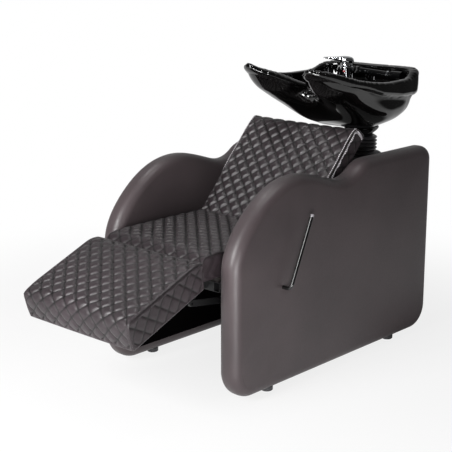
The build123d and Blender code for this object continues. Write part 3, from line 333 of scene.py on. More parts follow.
# Black vinyl on the pads: tighter shine on each quilted diamond, sewn channels darkened with painted shade
PAD_LEATHER = Leatherette("black_quilted_vinyl", "2e2529", "261f22", 0.42, 1.1, 0.12, True)
# Wet-looking black glaze on fired ceramic: deep black with sharp white reflections
BLACK_GLAZE = Mottled("black_glazed_ceramic", "050404", "030303", (0.02, 0.035), 30.0, 0.003, ior=1.62)
# Plated brass, mirror bright: the mixer reflects the whole studio
CHROME = Mottled("polished_chrome_plate", "e4e6e9", "d6d9dd", (0.03, 0.07), 18.0, 0.01, 1.0)
# Baked powder on the steel frame: dull black with a faint orange-peel skin
POWDER_COAT = Mottled("black_powder_coated_steel", "101011", "0c0c0d", (0.45, 0.55), 1.6, 0.06)
# Gloss enamel on the hand lever: one long thin highlight
LEVER_ENAMEL = Mottled("gloss_black_enamelled_bar", "0d0c0d", "0a0a0a", (0.16, 0.22), 6.0, 0.03, coat=0.4)
# Passivated zinc on bolts and nuts: pale grey, slightly cloudy
ZINC = Mottled("zinc_plated_steel", "b9bcc0", "a3a6ab", (0.28, 0.4), 2.5, 0.03, 1.0)
# Ground steel pins: brighter and smoother than the plated bolts
PIN_STEEL = Mottled("ground_steel_pin", "c9cbce", "b6b8bc", (0.2, 0.3), 1.0, 0.01, 1.0)
# Carbon-filled rubber of bellows and feet: black lightened to dark grey, a painted sheen for the reflections
# along the ribs
RUBBER_WITH_PAINTED_SHEEN = Mottled("moulded_rubber_with_painted_sheen", "454446", "38373a", (0.26, 0.36), 1.2, 0.05)
# Turned nylon bush: black, waxy
NYLON = Mottled("turned_black_nylon", "1e1e20", "18181a", (0.35, 0.42), 1.4, 0.02)
# Painted fibreboard on the inner faces: even black with a rolled texture
INNER_BOARD = Mottled("rolled_black_paint_on_board", "080708", "060506", (0.6, 0.7), 1.8, 0.08, ior=1.08)
# Near-black sheet on the panels' inner faces below the seat: painted shade for the deep shadow there,
# swallowing nearly all light
SHADE_SHEET = Mottled("black_painted_shade_sheet", "060505", "040304", (0.85, 0.95), 2.2, 0.1, ior=1.05)
# Injection-moulded handle of the hand shower: glossy black
SHOWER_ABS = Mottled("gloss_black_moulded_abs", "0b0b0c", "080809", (0.1, 0.16), 4.0, 0.01, coat=0.3)
# Moulded cap on the lever end: pale grey
CAP_PLASTIC = Mottled("grey_moulded_polypropylene", "8f8c90", "7f7c80", (0.3, 0.4), 2.0, 0.02)
# Extruded drain pipe: off-white with a soft shine
PVC = Mottled("white_extruded_pvc", "dcdddf", "d3d4d6", (0.28, 0.36), 3.0, 0.02)
# Enamel dot that tells hot from cold
MARK_PAINT = Mottled("red_enamel_dot", "b3231f", "9c1d1a", (0.2, 0.28), 2.0, 0.01)
# Stained birch ply on the boards: near black with a faint long grain
STAINED_PLY = Plywood("black_stained_birch_plywood", "211d1b", "171413")
# Pale thread on the backrest: the light dotted rows, part contrast stitching and part painted highlight along
# the seam
PALE_THREAD_AND_HIGHLIGHT = SewingThread("pale_thread_and_painted_highlight", "dcd8dc", "a09ca0")
# Dark thread on the other seams: only just seen
DARK_THREAD = SewingThread("dark_grey_polyester_thread", "3a373b", "242225")


def put(name: str, data: bpy.types.ID) -> Piece:
    """Object with this data, at the origin of the scene."""
    item = bpy.data.objects.new(name, data)
    bpy.context.scene.collection.objects.link(item)
    return item


def declare(piece: Piece, body: str | None, node: str | None = None) -> Piece:
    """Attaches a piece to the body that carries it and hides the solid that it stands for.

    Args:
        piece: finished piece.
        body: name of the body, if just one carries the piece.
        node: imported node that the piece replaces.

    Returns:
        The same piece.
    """
    if body:
        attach(piece, body)
    if node:
        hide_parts(node)
    return piece


def ring_faces(rings: int, count: int, capped: bool = False, joined: bool = False) -> list[tuple[int, ...]]:
    """Faces between neighbouring rings of points.

    Args:
        rings: number of rings.
        count: points in each ring.
        capped: whether the first and last ring get a face.
        joined: whether the last ring meets the first.

    Returns:
        Rows of point numbers.
    """
    total, faces = rings * count, []
    for row in range(rings if joined else rings - 1):
        for at in range(count):
            a, b = row * count + at, row * count + (at + 1) % count
            faces.append((a, b, (b + count) % total, (a + count) % total))
    if capped:
        faces += [tuple(range(count)), tuple(range(total - count, total))]
    return faces


def make_piece(name: str, points: np.ndarray, faces: list, finish: Finish) -> Piece:
    """Makes a smooth-shaded mesh piece at the origin.

    Args:
        name: piece name.
        points: places in millimetres, one row each.
        faces: rows of point numbers.
        finish: surface of the piece.

    Returns:
        The new object, faces outwards and doubles merged.
    """
    mesh = bpy.data.meshes.new(name)
    mesh.from_pydata((np.asarray(points, float) * MM).tolist(), [], faces)
    work = bmesh.new()
    work.from_mesh(mesh)
    bmesh.ops.remove_doubles(work, verts=work.verts, dist=1e-5)
    bmesh.ops.recalc_face_normals(work, faces=work.faces)
    work.to_mesh(mesh)
    work.free()
    mesh.shade_smooth()
    mesh.materials.append(finish.material())
    return put(name, mesh)


def plain_mesh(piece: Piece) -> None:
    """Puts what a piece's modifiers make into its own mesh and removes the modifiers.

    Args:
        piece: mesh object with live modifiers.
    """
    graph = bpy.context.evaluated_depsgraph_get()
    made = bpy.data.meshes.new_from_object(piece.evaluated_get(graph))
    piece.modifiers.clear()
    old = piece.data
    piece.data = made
    bpy.data.meshes.remove(old)


def places_of(mesh: Mesh) -> np.ndarray:
    """Vertex places of a mesh as rows, in metres."""
    flat = np.empty(len(mesh.vertices) * 3)
    mesh.vertices.foreach_get("co", flat)
    return flat.reshape(-1, 3)


def normals_of(mesh: Mesh) -> np.ndarray:
    """Vertex normals of a mesh as rows."""
    flat = np.empty(len(mesh.vertices) * 3)
    mesh.vertex_normals.foreach_get("vector", flat)
    return flat.reshape(-1, 3)


def move_points(mesh: Mesh, rows: np.ndarray) -> None:
    """Puts a mesh's vertices at rows of places in metres."""
    mesh.vertices.foreach_set("co", rows.ravel())
    mesh.update()


def finish_cover(piece: Piece, finish: Finish) -> None:
    """Shades a piece smooth and gives it one finish in place of those it has."""
    piece.data.shade_smooth()
    piece.data.materials.clear()
    piece.data.materials.append(finish.material())


def surface_of(mesh: Mesh) -> BVHTree:
    """Surface of a mesh, for finding its nearest place or where a ray meets it."""
    return BVHTree.FromPolygons([v.co for v in mesh.vertices], [p.vertices for p in mesh.polygons])


def circle(turns: np.ndarray) -> np.ndarray:
    """Unit directions at turns in radians, as rows."""
    return np.column_stack([np.cos(turns), np.sin(turns)])


def smooth_step(value: np.ndarray) -> np.ndarray:
    """Eases a share between nought and one."""
    share = np.clip(value, 0, 1)
    return share * share * (3 - 2 * share)


@dataclass(frozen=True)
class Beads:
    """Rounded pieces laid by a Geometry Nodes tree: stitches along lines, or screw heads on points."""

    size_mm: tuple[float, float, float]
    pitch_mm: float = 0.0
    segments: int = 6
    rings: int = 4

    def tree(self) -> Tree:
        """Node tree that lays one stretched sphere on each place.

        Returns:
            The tree, with its sizes as named inputs.
        """
        name = "stitch_row" if self.pitch_mm else "board_screws"
        if name in bpy.data.node_groups:
            return bpy.data.node_groups[name]
        tree = bpy.data.node_groups.new(name, "GeometryNodeTree")
        inputs = {"Places": "Geometry", "Pitch": "Float", "Size": "Vector", "Finish": "Material"}
        for label, kind in inputs.items():
            tree.interface.new_socket(name=label, in_out="INPUT", socket_type=f"NodeSocket{kind}")
        tree.interface.new_socket(name="Pieces", in_out="OUTPUT", socket_type="NodeSocketGeometry")
        start = add_node(tree, "NodeGroupInput").outputs
        if self.pitch_mm:
            line = add_node(tree, "GeometryNodeMeshToCurve", links={"Mesh": start["Places"]})
            points = add_node(tree, "GeometryNodeCurveToPoints", {"mode": "LENGTH"},
                              links={"Curve": line.outputs["Curve"], "Length": start["Pitch"]}).outputs
            turned = {"Rotation": points["Rotation"]}
        else:
            points = add_node(tree, "GeometryNodeMeshToPoints", links={"Mesh": start["Places"]}).outputs
            turned = {}
        bead = add_node(tree, "GeometryNodeMeshUVSphere",
                        values={"Segments": self.segments, "Rings": self.rings, "Radius": 0.5})
        laid = add_node(tree, "GeometryNodeInstanceOnPoints", links={
            "Points": points["Points"], "Instance": bead.outputs["Mesh"], "Scale": start["Size"], **turned})
        real = add_node(tree, "GeometryNodeRealizeInstances", links={"Geometry": laid.outputs["Instances"]})
        dressed = add_node(tree, "GeometryNodeSetMaterial", links={
            "Geometry": real.outputs["Geometry"], "Material": start["Finish"]})
        add_node(tree, "NodeGroupOutput", links={"Pieces": dressed.outputs["Geometry"]})
        return tree

    def lay(self, name: str, lines: list[np.ndarray], finish: Finish) -> Piece:
        """Lays the beads.

        Args:
            name: piece name.
            lines: rows of places in metres, one array a line.
            finish: surface of the beads.

        Returns:
            One plain mesh with every bead.
        """
        points, edges = np.vstack(lines), []
        if self.pitch_mm:
            first = 0
            for line in lines:
                edges += [(at, at + 1) for at in range(first, first + len(line) - 1)]
                first += len(line)
        mesh = bpy.data.meshes.new(name)
        mesh.from_pydata(points.tolist(), edges, [])
        piece = put(name, mesh)
        live = piece.modifiers.new("beads", "NODES")
        live.node_group = self.tree()
        amounts = {"Pitch": self.pitch_mm * MM, "Size": tuple(value * MM for value in self.size_mm),
                   "Finish": finish.material()}
        for item in live.node_group.interface.items_tree:
            if item.name in amounts:
                live[item.identifier] = amounts[item.name]
        plain_mesh(piece)
        piece.data.shade_smooth()
        return piece


@dataclass
class BoardScrews:
    """Domed screws along the long edges of one inner board."""

    side: Side
    heads: Beads = Beads((5.2, 9.0, 9.0), segments=16, rings=8)
    from_end: float = 45.0
    from_edge: float = 22.0
    count: int = 6

    def build(self) -> Piece:
        """Drives two rows of screws into the board.

        Returns:
            The screws of that board.
        """
        low, high = (np.array(corner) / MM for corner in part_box(f"{self.side.label}_inner_board"))
        face = low[0] if self.side is Side.LEFT else high[0]
        along = np.linspace(low[1] + self.from_end, high[1] - self.from_end, self.count)
        levels = (low[2] + self.from_edge, high[2] - self.from_edge)
        spots = np.array([(face, y, z) for y in along for z in levels])
        piece = self.heads.lay(f"{self.side.label}_board_screws", [spots * MM], ZINC)
        return declare(piece, "chair")


@dataclass
class ArmPanel:
    """One upholstered side: wave-shaped outline, rolled edge, tight pillow on both faces."""

    side: Side
    spacing: float = 530.0
    thickness: float = 80.0
    length: float = 1056.0
    height: float = 691.0
    foot: float = 15.0
    edge_radius: float = 33.0
    low_radii: tuple[float, float] = (90.0, 85.0)
    top_radius: float = 50.0
    rise: tuple[tuple[float, float], ...] = (
        (-528.0, 425.0), (-434.0, 597.0), (-304.1, 675.8), (-205.9, 689.0), (-63.9, 657.1), (14.3, 641.0))
    flat_from: float = 166.8
    pillow: float = 3.2
    pillow_run: float = 45.0
    lever_place: tuple[float, float] = (-308.0, 347.0)
    dimple: float = 3.0
    dimple_reach: float = 17.0
    groove_turn: float = 42.0
    groove_depth: float = 1.3
    seam_turn: float = 50.0
    wave_steps: int = 28
    ring_points: int = 520
    arc_step: float = 7.0
    grid: float = 13.0

    def wave(self) -> np.ndarray:
        """Clamped cubic spline from the front edge over the crest to the dip.

        Returns:
            Rows of Y and Z in the panel's own frame, in millimetres.
        """
        knots = np.array(self.rise)
        gaps = np.hypot(*np.diff(knots, axis=0).T)
        count = len(knots)
        matrix, right = np.zeros((count, count)), np.zeros((count, 2))
        slopes = np.diff(knots, axis=0) / gaps[:, None]
        matrix[0, 0] = matrix[-1, -1] = 1.0
        right[0], right[-1] = (0.0, 1.0), (1.0, 0.0)
        for at in range(1, count - 1):
            matrix[at, at - 1], matrix[at, at + 1] = gaps[at], gaps[at - 1]
            matrix[at, at] = 2 * (gaps[at] + gaps[at - 1])
            right[at] = 3 * (gaps[at] * slopes[at - 1] + gaps[at - 1] * slopes[at])
        ends = np.linalg.solve(matrix, right)
        rows = []
        for at, gap in enumerate(gaps):
            s = np.linspace(0, 1, self.wave_steps, endpoint=False)[:, None]
            rows.append((2 * s**3 - 3 * s**2 + 1) * knots[at] + (s**3 - 2 * s**2 + s) * gap * ends[at]
                        + (3 * s**2 - 2 * s**3) * knots[at + 1] + (s**3 - s**2) * gap * ends[at + 1])
        return np.vstack(rows)

    def arc(self, start: tuple[float, float], end: tuple[float, float],
            tangent: tuple[float, float]) -> np.ndarray:
        """Arc that leaves start along tangent and reaches end.

        Args:
            start: first place.
            end: last place, left out of the rows.
            tangent: unit direction at the start.

        Returns:
            Rows of places.
        """
        a, b, t = np.array(start), np.array(end), np.array(tangent)
        normal = np.array([-t[1], t[0]])
        radius = (b - a) @ (b - a) / (2 * (b - a) @ normal)
        centre = a + normal * radius
        first = math.atan2(*(a - centre)[::-1])
        sweep = math.atan2(*(b - centre)[::-1]) - first
        full = 2 * math.pi
        sweep -= full * round((sweep - math.copysign(abs(sweep) % full, radius)) / full)
        steps = max(6, int(abs(sweep * radius) / self.arc_step))
        turn = first + sweep * np.linspace(0, 1, steps, endpoint=False)
        return centre + abs(radius) * circle(turn)

    def outline(self) -> np.ndarray:
        """Whole outline of the panel, evenly spaced.

        Returns:
            Rows of Y and Z in the panel's own frame.
        """
        dip, top, rear = self.rise[-1], self.height, self.length / 2
        flat = (self.flat_from, top)
        middle = ((dip[0] + flat[0]) / 2, (dip[1] + flat[1]) / 2)
        chord = np.array(middle) - np.array(dip)
        turn = 2 * math.atan2(chord[1], chord[0])
        r, (front_low, rear_low) = self.top_radius, self.low_radii
        parts = [self.wave(), self.arc(dip, middle, (1, 0)),
                 self.arc(middle, flat, (math.cos(turn), math.sin(turn))),
                 np.linspace(flat, (rear - r, top), 24, endpoint=False),
                 self.arc((rear - r, top), (rear, top - r), (1, 0)),
                 np.linspace((rear, top - r), (rear, self.foot + rear_low), 60, endpoint=False),
                 self.arc((rear, self.foot + rear_low), (rear - rear_low, self.foot), (0, -1)),
                 np.linspace((rear - rear_low, self.foot), (front_low - rear, self.foot), 90, endpoint=False),
                 self.arc((front_low - rear, self.foot), (-rear, self.foot + front_low), (-1, 0)),
                 np.linspace((-rear, self.foot + front_low), self.rise[0], 40, endpoint=False)]
        raw = np.vstack(parts)
        closed = np.vstack([raw, raw[:1]])
        run = np.concatenate([[0], np.cumsum(np.hypot(*np.diff(closed, axis=0).T))])
        even = np.linspace(0, run[-1], self.ring_points, endpoint=False)
        return np.column_stack([np.interp(even, run, closed[:, 0]), np.interp(even, run, closed[:, 1])])

    def outward(self, ring: np.ndarray) -> np.ndarray:
        """Unit normals that point out of a clockwise ring."""
        step = np.roll(ring, -2, axis=0) - np.roll(ring, 2, axis=0)
        normal = np.column_stack([-step[:, 1], step[:, 0]])
        return normal / np.hypot(*normal.T)[:, None]

    def face_fill(self, ring: np.ndarray) -> tuple[np.ndarray, list]:
        """Even triangles inside a ring, for a face that can swell.

        Args:
            ring: rows of Y and Z.

        Returns:
            Places, ring first, and triangles.
        """
        low, high = ring.min(axis=0), ring.max(axis=0)
        ys = np.arange(low[0] + self.grid / 2, high[0], self.grid)
        zs = np.arange(low[1] + self.grid / 2, high[1], self.grid * 0.866)
        spots = np.array([(y + (at % 2) * self.grid / 2, z) for at, z in enumerate(zs) for y in ys])
        spots = spots[self.distance(spots, ring) > self.grid * 0.55]
        spots = spots[self.inside(spots, ring)]
        count = len(ring)
        everything = [Vector(p) for p in np.vstack([ring, spots])]
        edges = [(at, (at + 1) % count) for at in range(count)]
        out, _, faces, *_ = delaunay_2d_cdt(everything, edges, [], 1, 1e-6)
        return np.array([tuple(v) for v in out]), [list(f) for f in faces]

    def distance(self, spots: np.ndarray, ring: np.ndarray) -> np.ndarray:
        """Distance of each place from the ring's nearest point."""
        return np.array([np.hypot(*(ring - spot).T).min() for spot in spots])

    def inside(self, spots: np.ndarray, ring: np.ndarray) -> np.ndarray:
        """Whether each place lies inside the ring."""
        after = np.roll(ring, -1, axis=0)
        found = []
        for y, z in spots:
            cross = (ring[:, 1] > z) != (after[:, 1] > z)
            at = ring[cross, 0] + (z - ring[cross, 1]) * (after[cross, 0] - ring[cross, 0]) / (
                after[cross, 1] - ring[cross, 1])
            found.append(np.count_nonzero(at > y) % 2 == 1)
        return np.array(found)

    def section(self) -> list[tuple[float, float]]:
        """Rings of the skin from the left face over the rolled edges to the right face.

        Returns:
            Inset and place across of each ring.
        """
        half, radius, groove = self.thickness / 2, self.edge_radius, self.groove_turn
        depths = {groove - 2.5: 0.5, groove: self.groove_depth, groove + 2.5: 0.5}

        def rolled(degrees: float, sign: int, depth: float = 0.0) -> tuple[float, float]:
            """Place on one rolled edge, pressed in by a depth."""
            turn = math.radians(degrees)
            return (radius * (1 - math.cos(turn)) + depth * math.cos(turn),
                    sign * (half - radius * (1 - math.sin(turn)) - depth * math.sin(turn)))

        left = [rolled(turn, 1) for turn in (90, 82, 74, 66, 58, 50, 42, 34, 26, 18, 9, 0)]
        right = [rolled(turn, -1, depths.get(turn, 0.0))
                 for turn in (0, 10, 20, 30, 37, 39.5, 42, 44.5, 47, 55, 63, 72, 81, 90)]
        return [*left, (0.0, 0.0), *right]

    def build(self) -> Piece:
        """Skin of the panel in one closed mesh.

        Returns:
            The piece, in place of the panel's upholstery solid.
        """
        ring = self.outline()
        normal = self.outward(ring)
        section, count = self.section(), len(ring)
        points = np.vstack([np.column_stack([np.full(count, across), ring - normal * inset])
                            for inset, across in section])
        faces = ring_faces(len(section), count)
        edge = ring - normal * self.edge_radius
        for sign in (1, -1):
            flat, triangles = self.face_fill(edge)
            away = self.distance(flat, edge)
            away[:count] = 0
            lift = self.pillow * (1 - np.exp(-away / self.pillow_run))
            if sign > 0 and self.side is Side.LEFT:
                near = np.hypot(*(flat - self.lever_place).T)
                lift -= self.dimple * np.exp(-(near / self.dimple_reach) ** 2)
            first = len(points)
            points = np.vstack([points, np.column_stack([sign * (self.thickness / 2 + lift), flat])])
            faces += [tuple(first + at for at in triangle) for triangle in triangles]
        points += (self.side.value * self.spacing / 2, -PANEL_LEAD, 0.0)
        piece = make_piece(f"{self.side.label}_arm_cover", points, faces, ARM_LEATHER)
        declare(piece, "chair", f"{self.side.label}_side_upholstery")
        self.seam(ring, normal)
        return piece

    def seam(self, ring: np.ndarray, normal: np.ndarray) -> None:
        """Stitches beside the seam on the rolled edge towards the sitter's right.

        Args:
            ring: outline of the panel.
            normal: outward normals of the outline.
        """
        turn, radius = math.radians(self.seam_turn), self.edge_radius + 0.15
        inset = self.edge_radius - radius * math.cos(turn)
        across = -(self.thickness / 2 - self.edge_radius + radius * math.sin(turn))
        line = ring - normal * inset
        x = self.side.value * self.spacing / 2 + across
        rows = np.column_stack([np.full(len(line), x), line[:, 0] - PANEL_LEAD, line[:, 1]]) * MM
        stitches = Beads((0.8, 0.8, 4.2), 5.5).lay(f"{self.side.label}_arm_stitches", [rows], DARK_THREAD)
        declare(stitches, "chair")


@dataclass
class QuiltedPad:
    """Foam pad in a diamond-quilted cover: crowned top, rolled nose, sewn side seams."""

    name: str
    body: str
    origin: tuple[float, float, float]
    across: tuple[float, float, float]
    tilt: float
    width: float
    length: float
    thickness: float
    nose: float
    crown: float
    lean: float = 0.0
    puff: float = 7.4
    side_puff: float = 0.0
    swell: float = 5.0
    sharpness: float = 0.45
    wider: float = 0.0
    longer: float = 1.0
    rear_drop: float = 0.0
    thread: Finish = DARK_THREAD
    sewing: Beads = Beads((0.6, 0.6, 3.6), 5.0)
    rows: tuple[float, ...] = (4.0, -4.0)
    seam_band: float = 4.0
    diamonds: float = 8.5
    cells: int = 6
    fullness: float = 2.2
    pinch: float = 1.6
    pinch_reach: float = 1.8
    seam_puff_reach: float = 14.0
    nose_flattening: float = 0.68
    nose_reach: float = 14.0
    wrinkle: float = 1.2
    shade_reach: float = 1.7
    rear_reach: float = 48.0
    frames: int = 20
    counts: tuple[int, int, int] = (0, 0, 0)

    @property
    def period(self) -> float:
        """Diagonal of one diamond."""
        return self.width / self.diamonds

    @property
    def cell(self) -> float:
        """Edge of one cover cell before it is divided."""
        return self.period / self.cells

    def axes(self) -> tuple[Vector, Vector, Vector]:
        """Across, along and out directions of the pad."""
        turn = math.radians(self.tilt)
        out = Vector((0, -math.sin(turn), math.cos(turn)))
        across = Vector(self.across)
        return across, out.cross(across), out

    def placed(self, local: np.ndarray) -> np.ndarray:
        """Moves local rows of across, along and out to the row frame, in millimetres."""
        return np.array(self.origin) + local @ np.array([list(axis) for axis in self.axes()])

    def skin(self, run: float) -> tuple[float, float]:
        """Place along and out on the quilted skin at a run from the rear edge."""
        flat, arc = self.length - self.nose, self.nose * math.pi / 2
        if run <= flat:
            return run, 0.0
        if run <= flat + arc:
            turn = (run - flat) / self.nose
            return flat + self.nose * math.sin(turn), self.nose * (math.cos(turn) - 1)
        return self.length, -self.nose - (run - flat - arc)

    def lattice(self) -> tuple[np.ndarray, list, list, list]:
        """Closed box of cells bent to the pad's shape.

        Returns:
            Local places, faces, pattern places of each face corner, and each face's patch.
        """
        half_arc = self.nose * math.pi / 4
        top_run = self.length - self.nose + half_arc
        front_run = half_arc + self.thickness - self.nose
        nx = round(self.width / self.cell)
        ny, nz = round(top_run / self.cell), max(4, round(front_run / self.cell))
        top = np.array([self.skin(top_run * j / ny) for j in range(ny + 1)])
        front = np.array([self.skin(top_run + front_run * (nz - k) / nz) for k in range(nz + 1)])
        low = np.linspace((self.lean, -self.thickness), (self.length, -self.thickness), ny + 1)
        rear = np.linspace((self.lean, -self.thickness), (0.0, 0.0), nz + 1)
        u, v = np.meshgrid(np.arange(ny + 1) / ny, np.arange(nz + 1) / nz, indexing="ij")
        u, v = u[..., None], v[..., None]
        sheet = ((1 - v) * low[:, None] + v * top[:, None] + (1 - u) * rear[None] + u * front[None]
                 - (1 - u) * (1 - v) * low[0] - u * (1 - v) * low[-1]
                 - (1 - u) * v * top[0] - u * v * top[-1])
        index, rows = {}, []
        for i in range(nx + 1):
            for j in range(ny + 1):
                for k in range(nz + 1):
                    if i in (0, nx) or j in (0, ny) or k in (0, nz):
                        index[i, j, k] = len(rows)
                        side = 2 * i / nx - 1
                        arch = self.crown * 0.6 * (1 - side**2) * math.sin(math.pi * j / ny) if k == nz else 0
                        rows.append((side * self.width / 2, sheet[j, k, 0], sheet[j, k, 1] + arch))
        faces, pattern, patches = [], [], []
        square = ((0, 0), (1, 0), (1, 1), (0, 1))

        def add(corners: list, spots: list, patch: Patch) -> None:
            """One cell of a patch."""
            faces.append([index[c] for c in corners])
            pattern.append(spots)
            patches.append(patch.value)

        for i in range(nx):
            for j in range(ny):
                for k, patch in ((nz, Patch.TOP), (0, Patch.BASE)):
                    add([(i + a, j + b, k) for a, b in square], [(i + a, j + b) for a, b in square], patch)
            for k in range(nz):
                for j, run, patch in ((ny, ny + nz, Patch.FRONT), (0, nz, Patch.REAR)):
                    add([(i + a, j, k + b) for a, b in square],
                        [(i + a, run - k - b) for a, b in square], patch)
        for i in (0, nx):
            for j in range(ny):
                for k in range(nz):
                    add([(i, j + a, k + b) for a, b in square],
                        [(j + a, nz - k - b) for a, b in square], Patch.SIDE)
        self.counts = (nx, ny, nz)
        return np.array(rows), faces, pattern, patches

    def held_points(self, local: np.ndarray) -> np.ndarray:
        """Numbers of the points on the board and along the sewn edges."""
        edge = np.abs(local[:, 0]) > self.width / 2 - 0.01
        front, rear = local[:, 1] > self.length - 0.01, local[:, 1] < 0.01 + np.maximum(0, -local[:, 2])
        top = local[:, 2] > -0.01
        board = local[:, 2] <= -self.thickness + 0.01
        return np.flatnonzero(board | (edge & (front | rear | top)))

    def fitted(self, mesh: Mesh) -> None:
        """Stretches the divided cover back to the pad's own width and length.

        Args:
            mesh: divided cover.
        """
        axes = np.array([list(axis) for axis in self.axes()])
        local = (places_of(mesh) / MM - np.array(self.origin)) @ axes.T
        low, high = local.min(axis=0), local.max(axis=0)
        local[:, 0] *= (self.width + self.wider) / (high[0] - low[0])
        local[:, 1] = (local[:, 1] - low[1]) / (high[1] - low[1]) * (self.length + self.longer) - 0.5
        # The rear edge sinks, most at the top
        near = np.clip(1 - local[:, 1] / self.rear_reach, 0, 1) ** 2 * (local[:, 2] > -0.6 * self.thickness)
        local[:, 2] -= self.rear_drop * near * (1 + np.clip(local[:, 2] / self.thickness, -0.6, 0) / 0.6)
        move_points(mesh, self.placed(local) * MM)

    def inflate(self, piece: Piece, base: np.ndarray) -> None:
        """Swells the cover with a short cloth run, its base held, each point's way capped.

        Args:
            piece: closed cover.
            base: numbers of the points that lie on the board.
        """
        rest = places_of(piece.data)
        held = piece.vertex_groups.new(name="held")
        held.add(base.tolist(), 1.0, "REPLACE")
        cloth = piece.modifiers.new("cover", "CLOTH")
        settings = {"quality": 4, "mass": 0.3, "tension_stiffness": 20, "compression_stiffness": 20,
                    "shear_stiffness": 10, "bending_stiffness": 1.0, "use_pressure": True,
                    "uniform_pressure_force": 4, "vertex_group_mass": "held"}
        for key, value in settings.items():
            setattr(cloth.settings, key, value)
        cloth.settings.effector_weights.gravity = 0
        cloth.collision_settings.use_collision = False
        scene = bpy.context.scene
        for at in range(self.frames):
            scene.frame_set(at + 1)
        graph = bpy.context.evaluated_depsgraph_get()
        swollen = places_of(piece.evaluated_get(graph).data)
        piece.modifiers.remove(cloth)
        scene.frame_set(1)
        way = swollen - rest
        size = np.linalg.norm(way, axis=1)
        cap = self.swell * MM
        way *= (cap * np.tanh(size / cap) / np.maximum(size, 1e-9))[:, None]
        LOG.info("%s: cloth moved its points by up to %.1f mm", self.name, size.max() / MM)
        move_points(piece.data, rest + way)

    def corner_data(self, mesh: Mesh) -> tuple[np.ndarray, ...]:
        """What each face corner of the cover knows.

        Args:
            mesh: divided cover.

        Returns:
            Pattern places u and v, vertex numbers and patch numbers.
        """
        corners, cells = len(mesh.loops), len(mesh.polygons)
        spots, vertex = np.empty(corners * 2), np.empty(corners, int)
        patch, sizes = np.empty(cells, int), np.empty(cells, int)
        mesh.uv_layers["pattern"].data.foreach_get("uv", spots)
        mesh.loops.foreach_get("vertex_index", vertex)
        mesh.attributes["patch"].data.foreach_get("value", patch)
        mesh.polygons.foreach_get("loop_total", sizes)
        return (*spots.reshape(-1, 2).T, vertex, np.repeat(patch, sizes))

    def between_channels(self, turns: np.ndarray) -> np.ndarray:
        """Share of the quilting's height between two sewn channels."""
        return 1 - (1 - np.abs(np.sin(np.pi * turns))) ** self.fullness

    def quilting(self, piece: Piece) -> None:
        """Raises diamonds, presses the sewn channels and pinches the seams, and paints shade into the
        channels and along the seams.

        Args:
            piece: divided cover, with its pattern map and patch numbers.
        """
        mesh = piece.data
        nx, ny, nz = self.counts
        u, v, vertex, patch = self.corner_data(mesh)
        side = patch == Patch.SIDE.value
        top = (patch == Patch.TOP.value) | (patch == Patch.FRONT.value)
        diamond = self.between_channels((u + v) / self.cells) * self.between_channels((u - v) / self.cells)
        edge = np.where(top, np.minimum(u, nx - u), np.minimum(v, nz - v)) * self.cell
        rear = np.where(top, v, np.minimum(u, ny - u)) * self.cell
        far = 99.0
        low = np.where(top, ny + nz - v, far) * self.cell
        seam = np.where(top, edge, np.where(side, v * self.cell, far))
        border = np.minimum(edge, np.minimum(rear, low))
        fade = np.where(top, smooth_step((border - self.seam_band * 0.4 + 1) / (self.seam_band * 0.6 + 2)),
                        smooth_step((border - 1) / 7))
        quilt = 1 - (1 - diamond) * fade
        # The quilting flattens where the cover bends over the nose
        bend = (v * self.cell - self.length + self.nose * 0.2) / (self.nose + self.nose_reach)
        rolled = self.puff * (1 - self.nose_flattening * np.exp(-bend**2))
        # A quilted flank swells most beside the top seam, a plain one only wrinkles
        beside = np.exp(-(seam / self.seam_puff_reach) ** 2) * (self.side_puff > 0)
        flank = self.side_puff + (0.8 * self.puff - self.side_puff) * beside
        height = np.where(top, rolled, np.where(side, flank, 0.0))
        lift = height * quilt - self.pinch * np.exp(-(seam / self.pinch_reach) ** 2)
        wrinkle = self.wrinkle * np.sin(u * 1.3 + 2 * np.sin(v * 0.8)) * fade
        lift += np.where(side & (self.side_puff == 0), wrinkle, 0)
        # Painted shade: darker in the channels and in a narrow line along each seam, kept as a point
        # attribute for the pad's material
        sewn = np.where(height > 0, quilt, 0.6) * (1 - np.exp(-(seam / self.shade_reach) ** 2))
        total = len(mesh.vertices)
        share = np.bincount(vertex, minlength=total)
        mean, shade = (np.bincount(vertex, values, minlength=total) / share for values in (lift, sewn))
        moved = places_of(mesh) + normals_of(mesh) * (mean * MM)[:, None]
        mesh.attributes.new("quilt", "FLOAT", "POINT").data.foreach_set("value", shade.astype(np.float32))
        move_points(mesh, moved)

    def seams(self, piece: Piece) -> None:
        """Rows of stitches along each side seam, some on the top and some on the flank.

        Args:
            piece: finished cover.
        """
        tree = surface_of(piece.data)
        total = self.length - self.nose + self.nose * math.pi / 2 + self.thickness - self.nose
        half = (self.width + self.wider) / 2
        lines, margin, step = [], 6.0, 3.0
        for side in (-1, 1):
            for band in self.rows:
                line = []
                for run in np.arange(margin, total - margin, step):
                    along, out = self.skin(run)
                    if band > 0:
                        local = (side * (half - band), along, out + self.puff)
                    else:
                        local = (side * (half + 4), *self.skin_inwards(run, -band))
                    spot = self.placed(np.array([local]))[0] * MM
                    place, normal, _, _ = tree.find_nearest(Vector(spot))
                    line.append(np.array(place + normal * 0.3 * MM))
                lines.append(np.array(line))
        stitches = self.sewing.lay(f"{self.name}_seam_stitches", lines, self.thread)
        declare(stitches, self.body)

    def skin_inwards(self, run: float, depth: float) -> tuple[float, float]:
        """Place on the side face a little inside the skin's edge."""
        along, out = self.skin(run)
        ahead, below = self.skin(run + 1)
        way = math.hypot(ahead - along, below - out) or 1
        return along + (below - out) / way * depth, out - (ahead - along) / way * depth

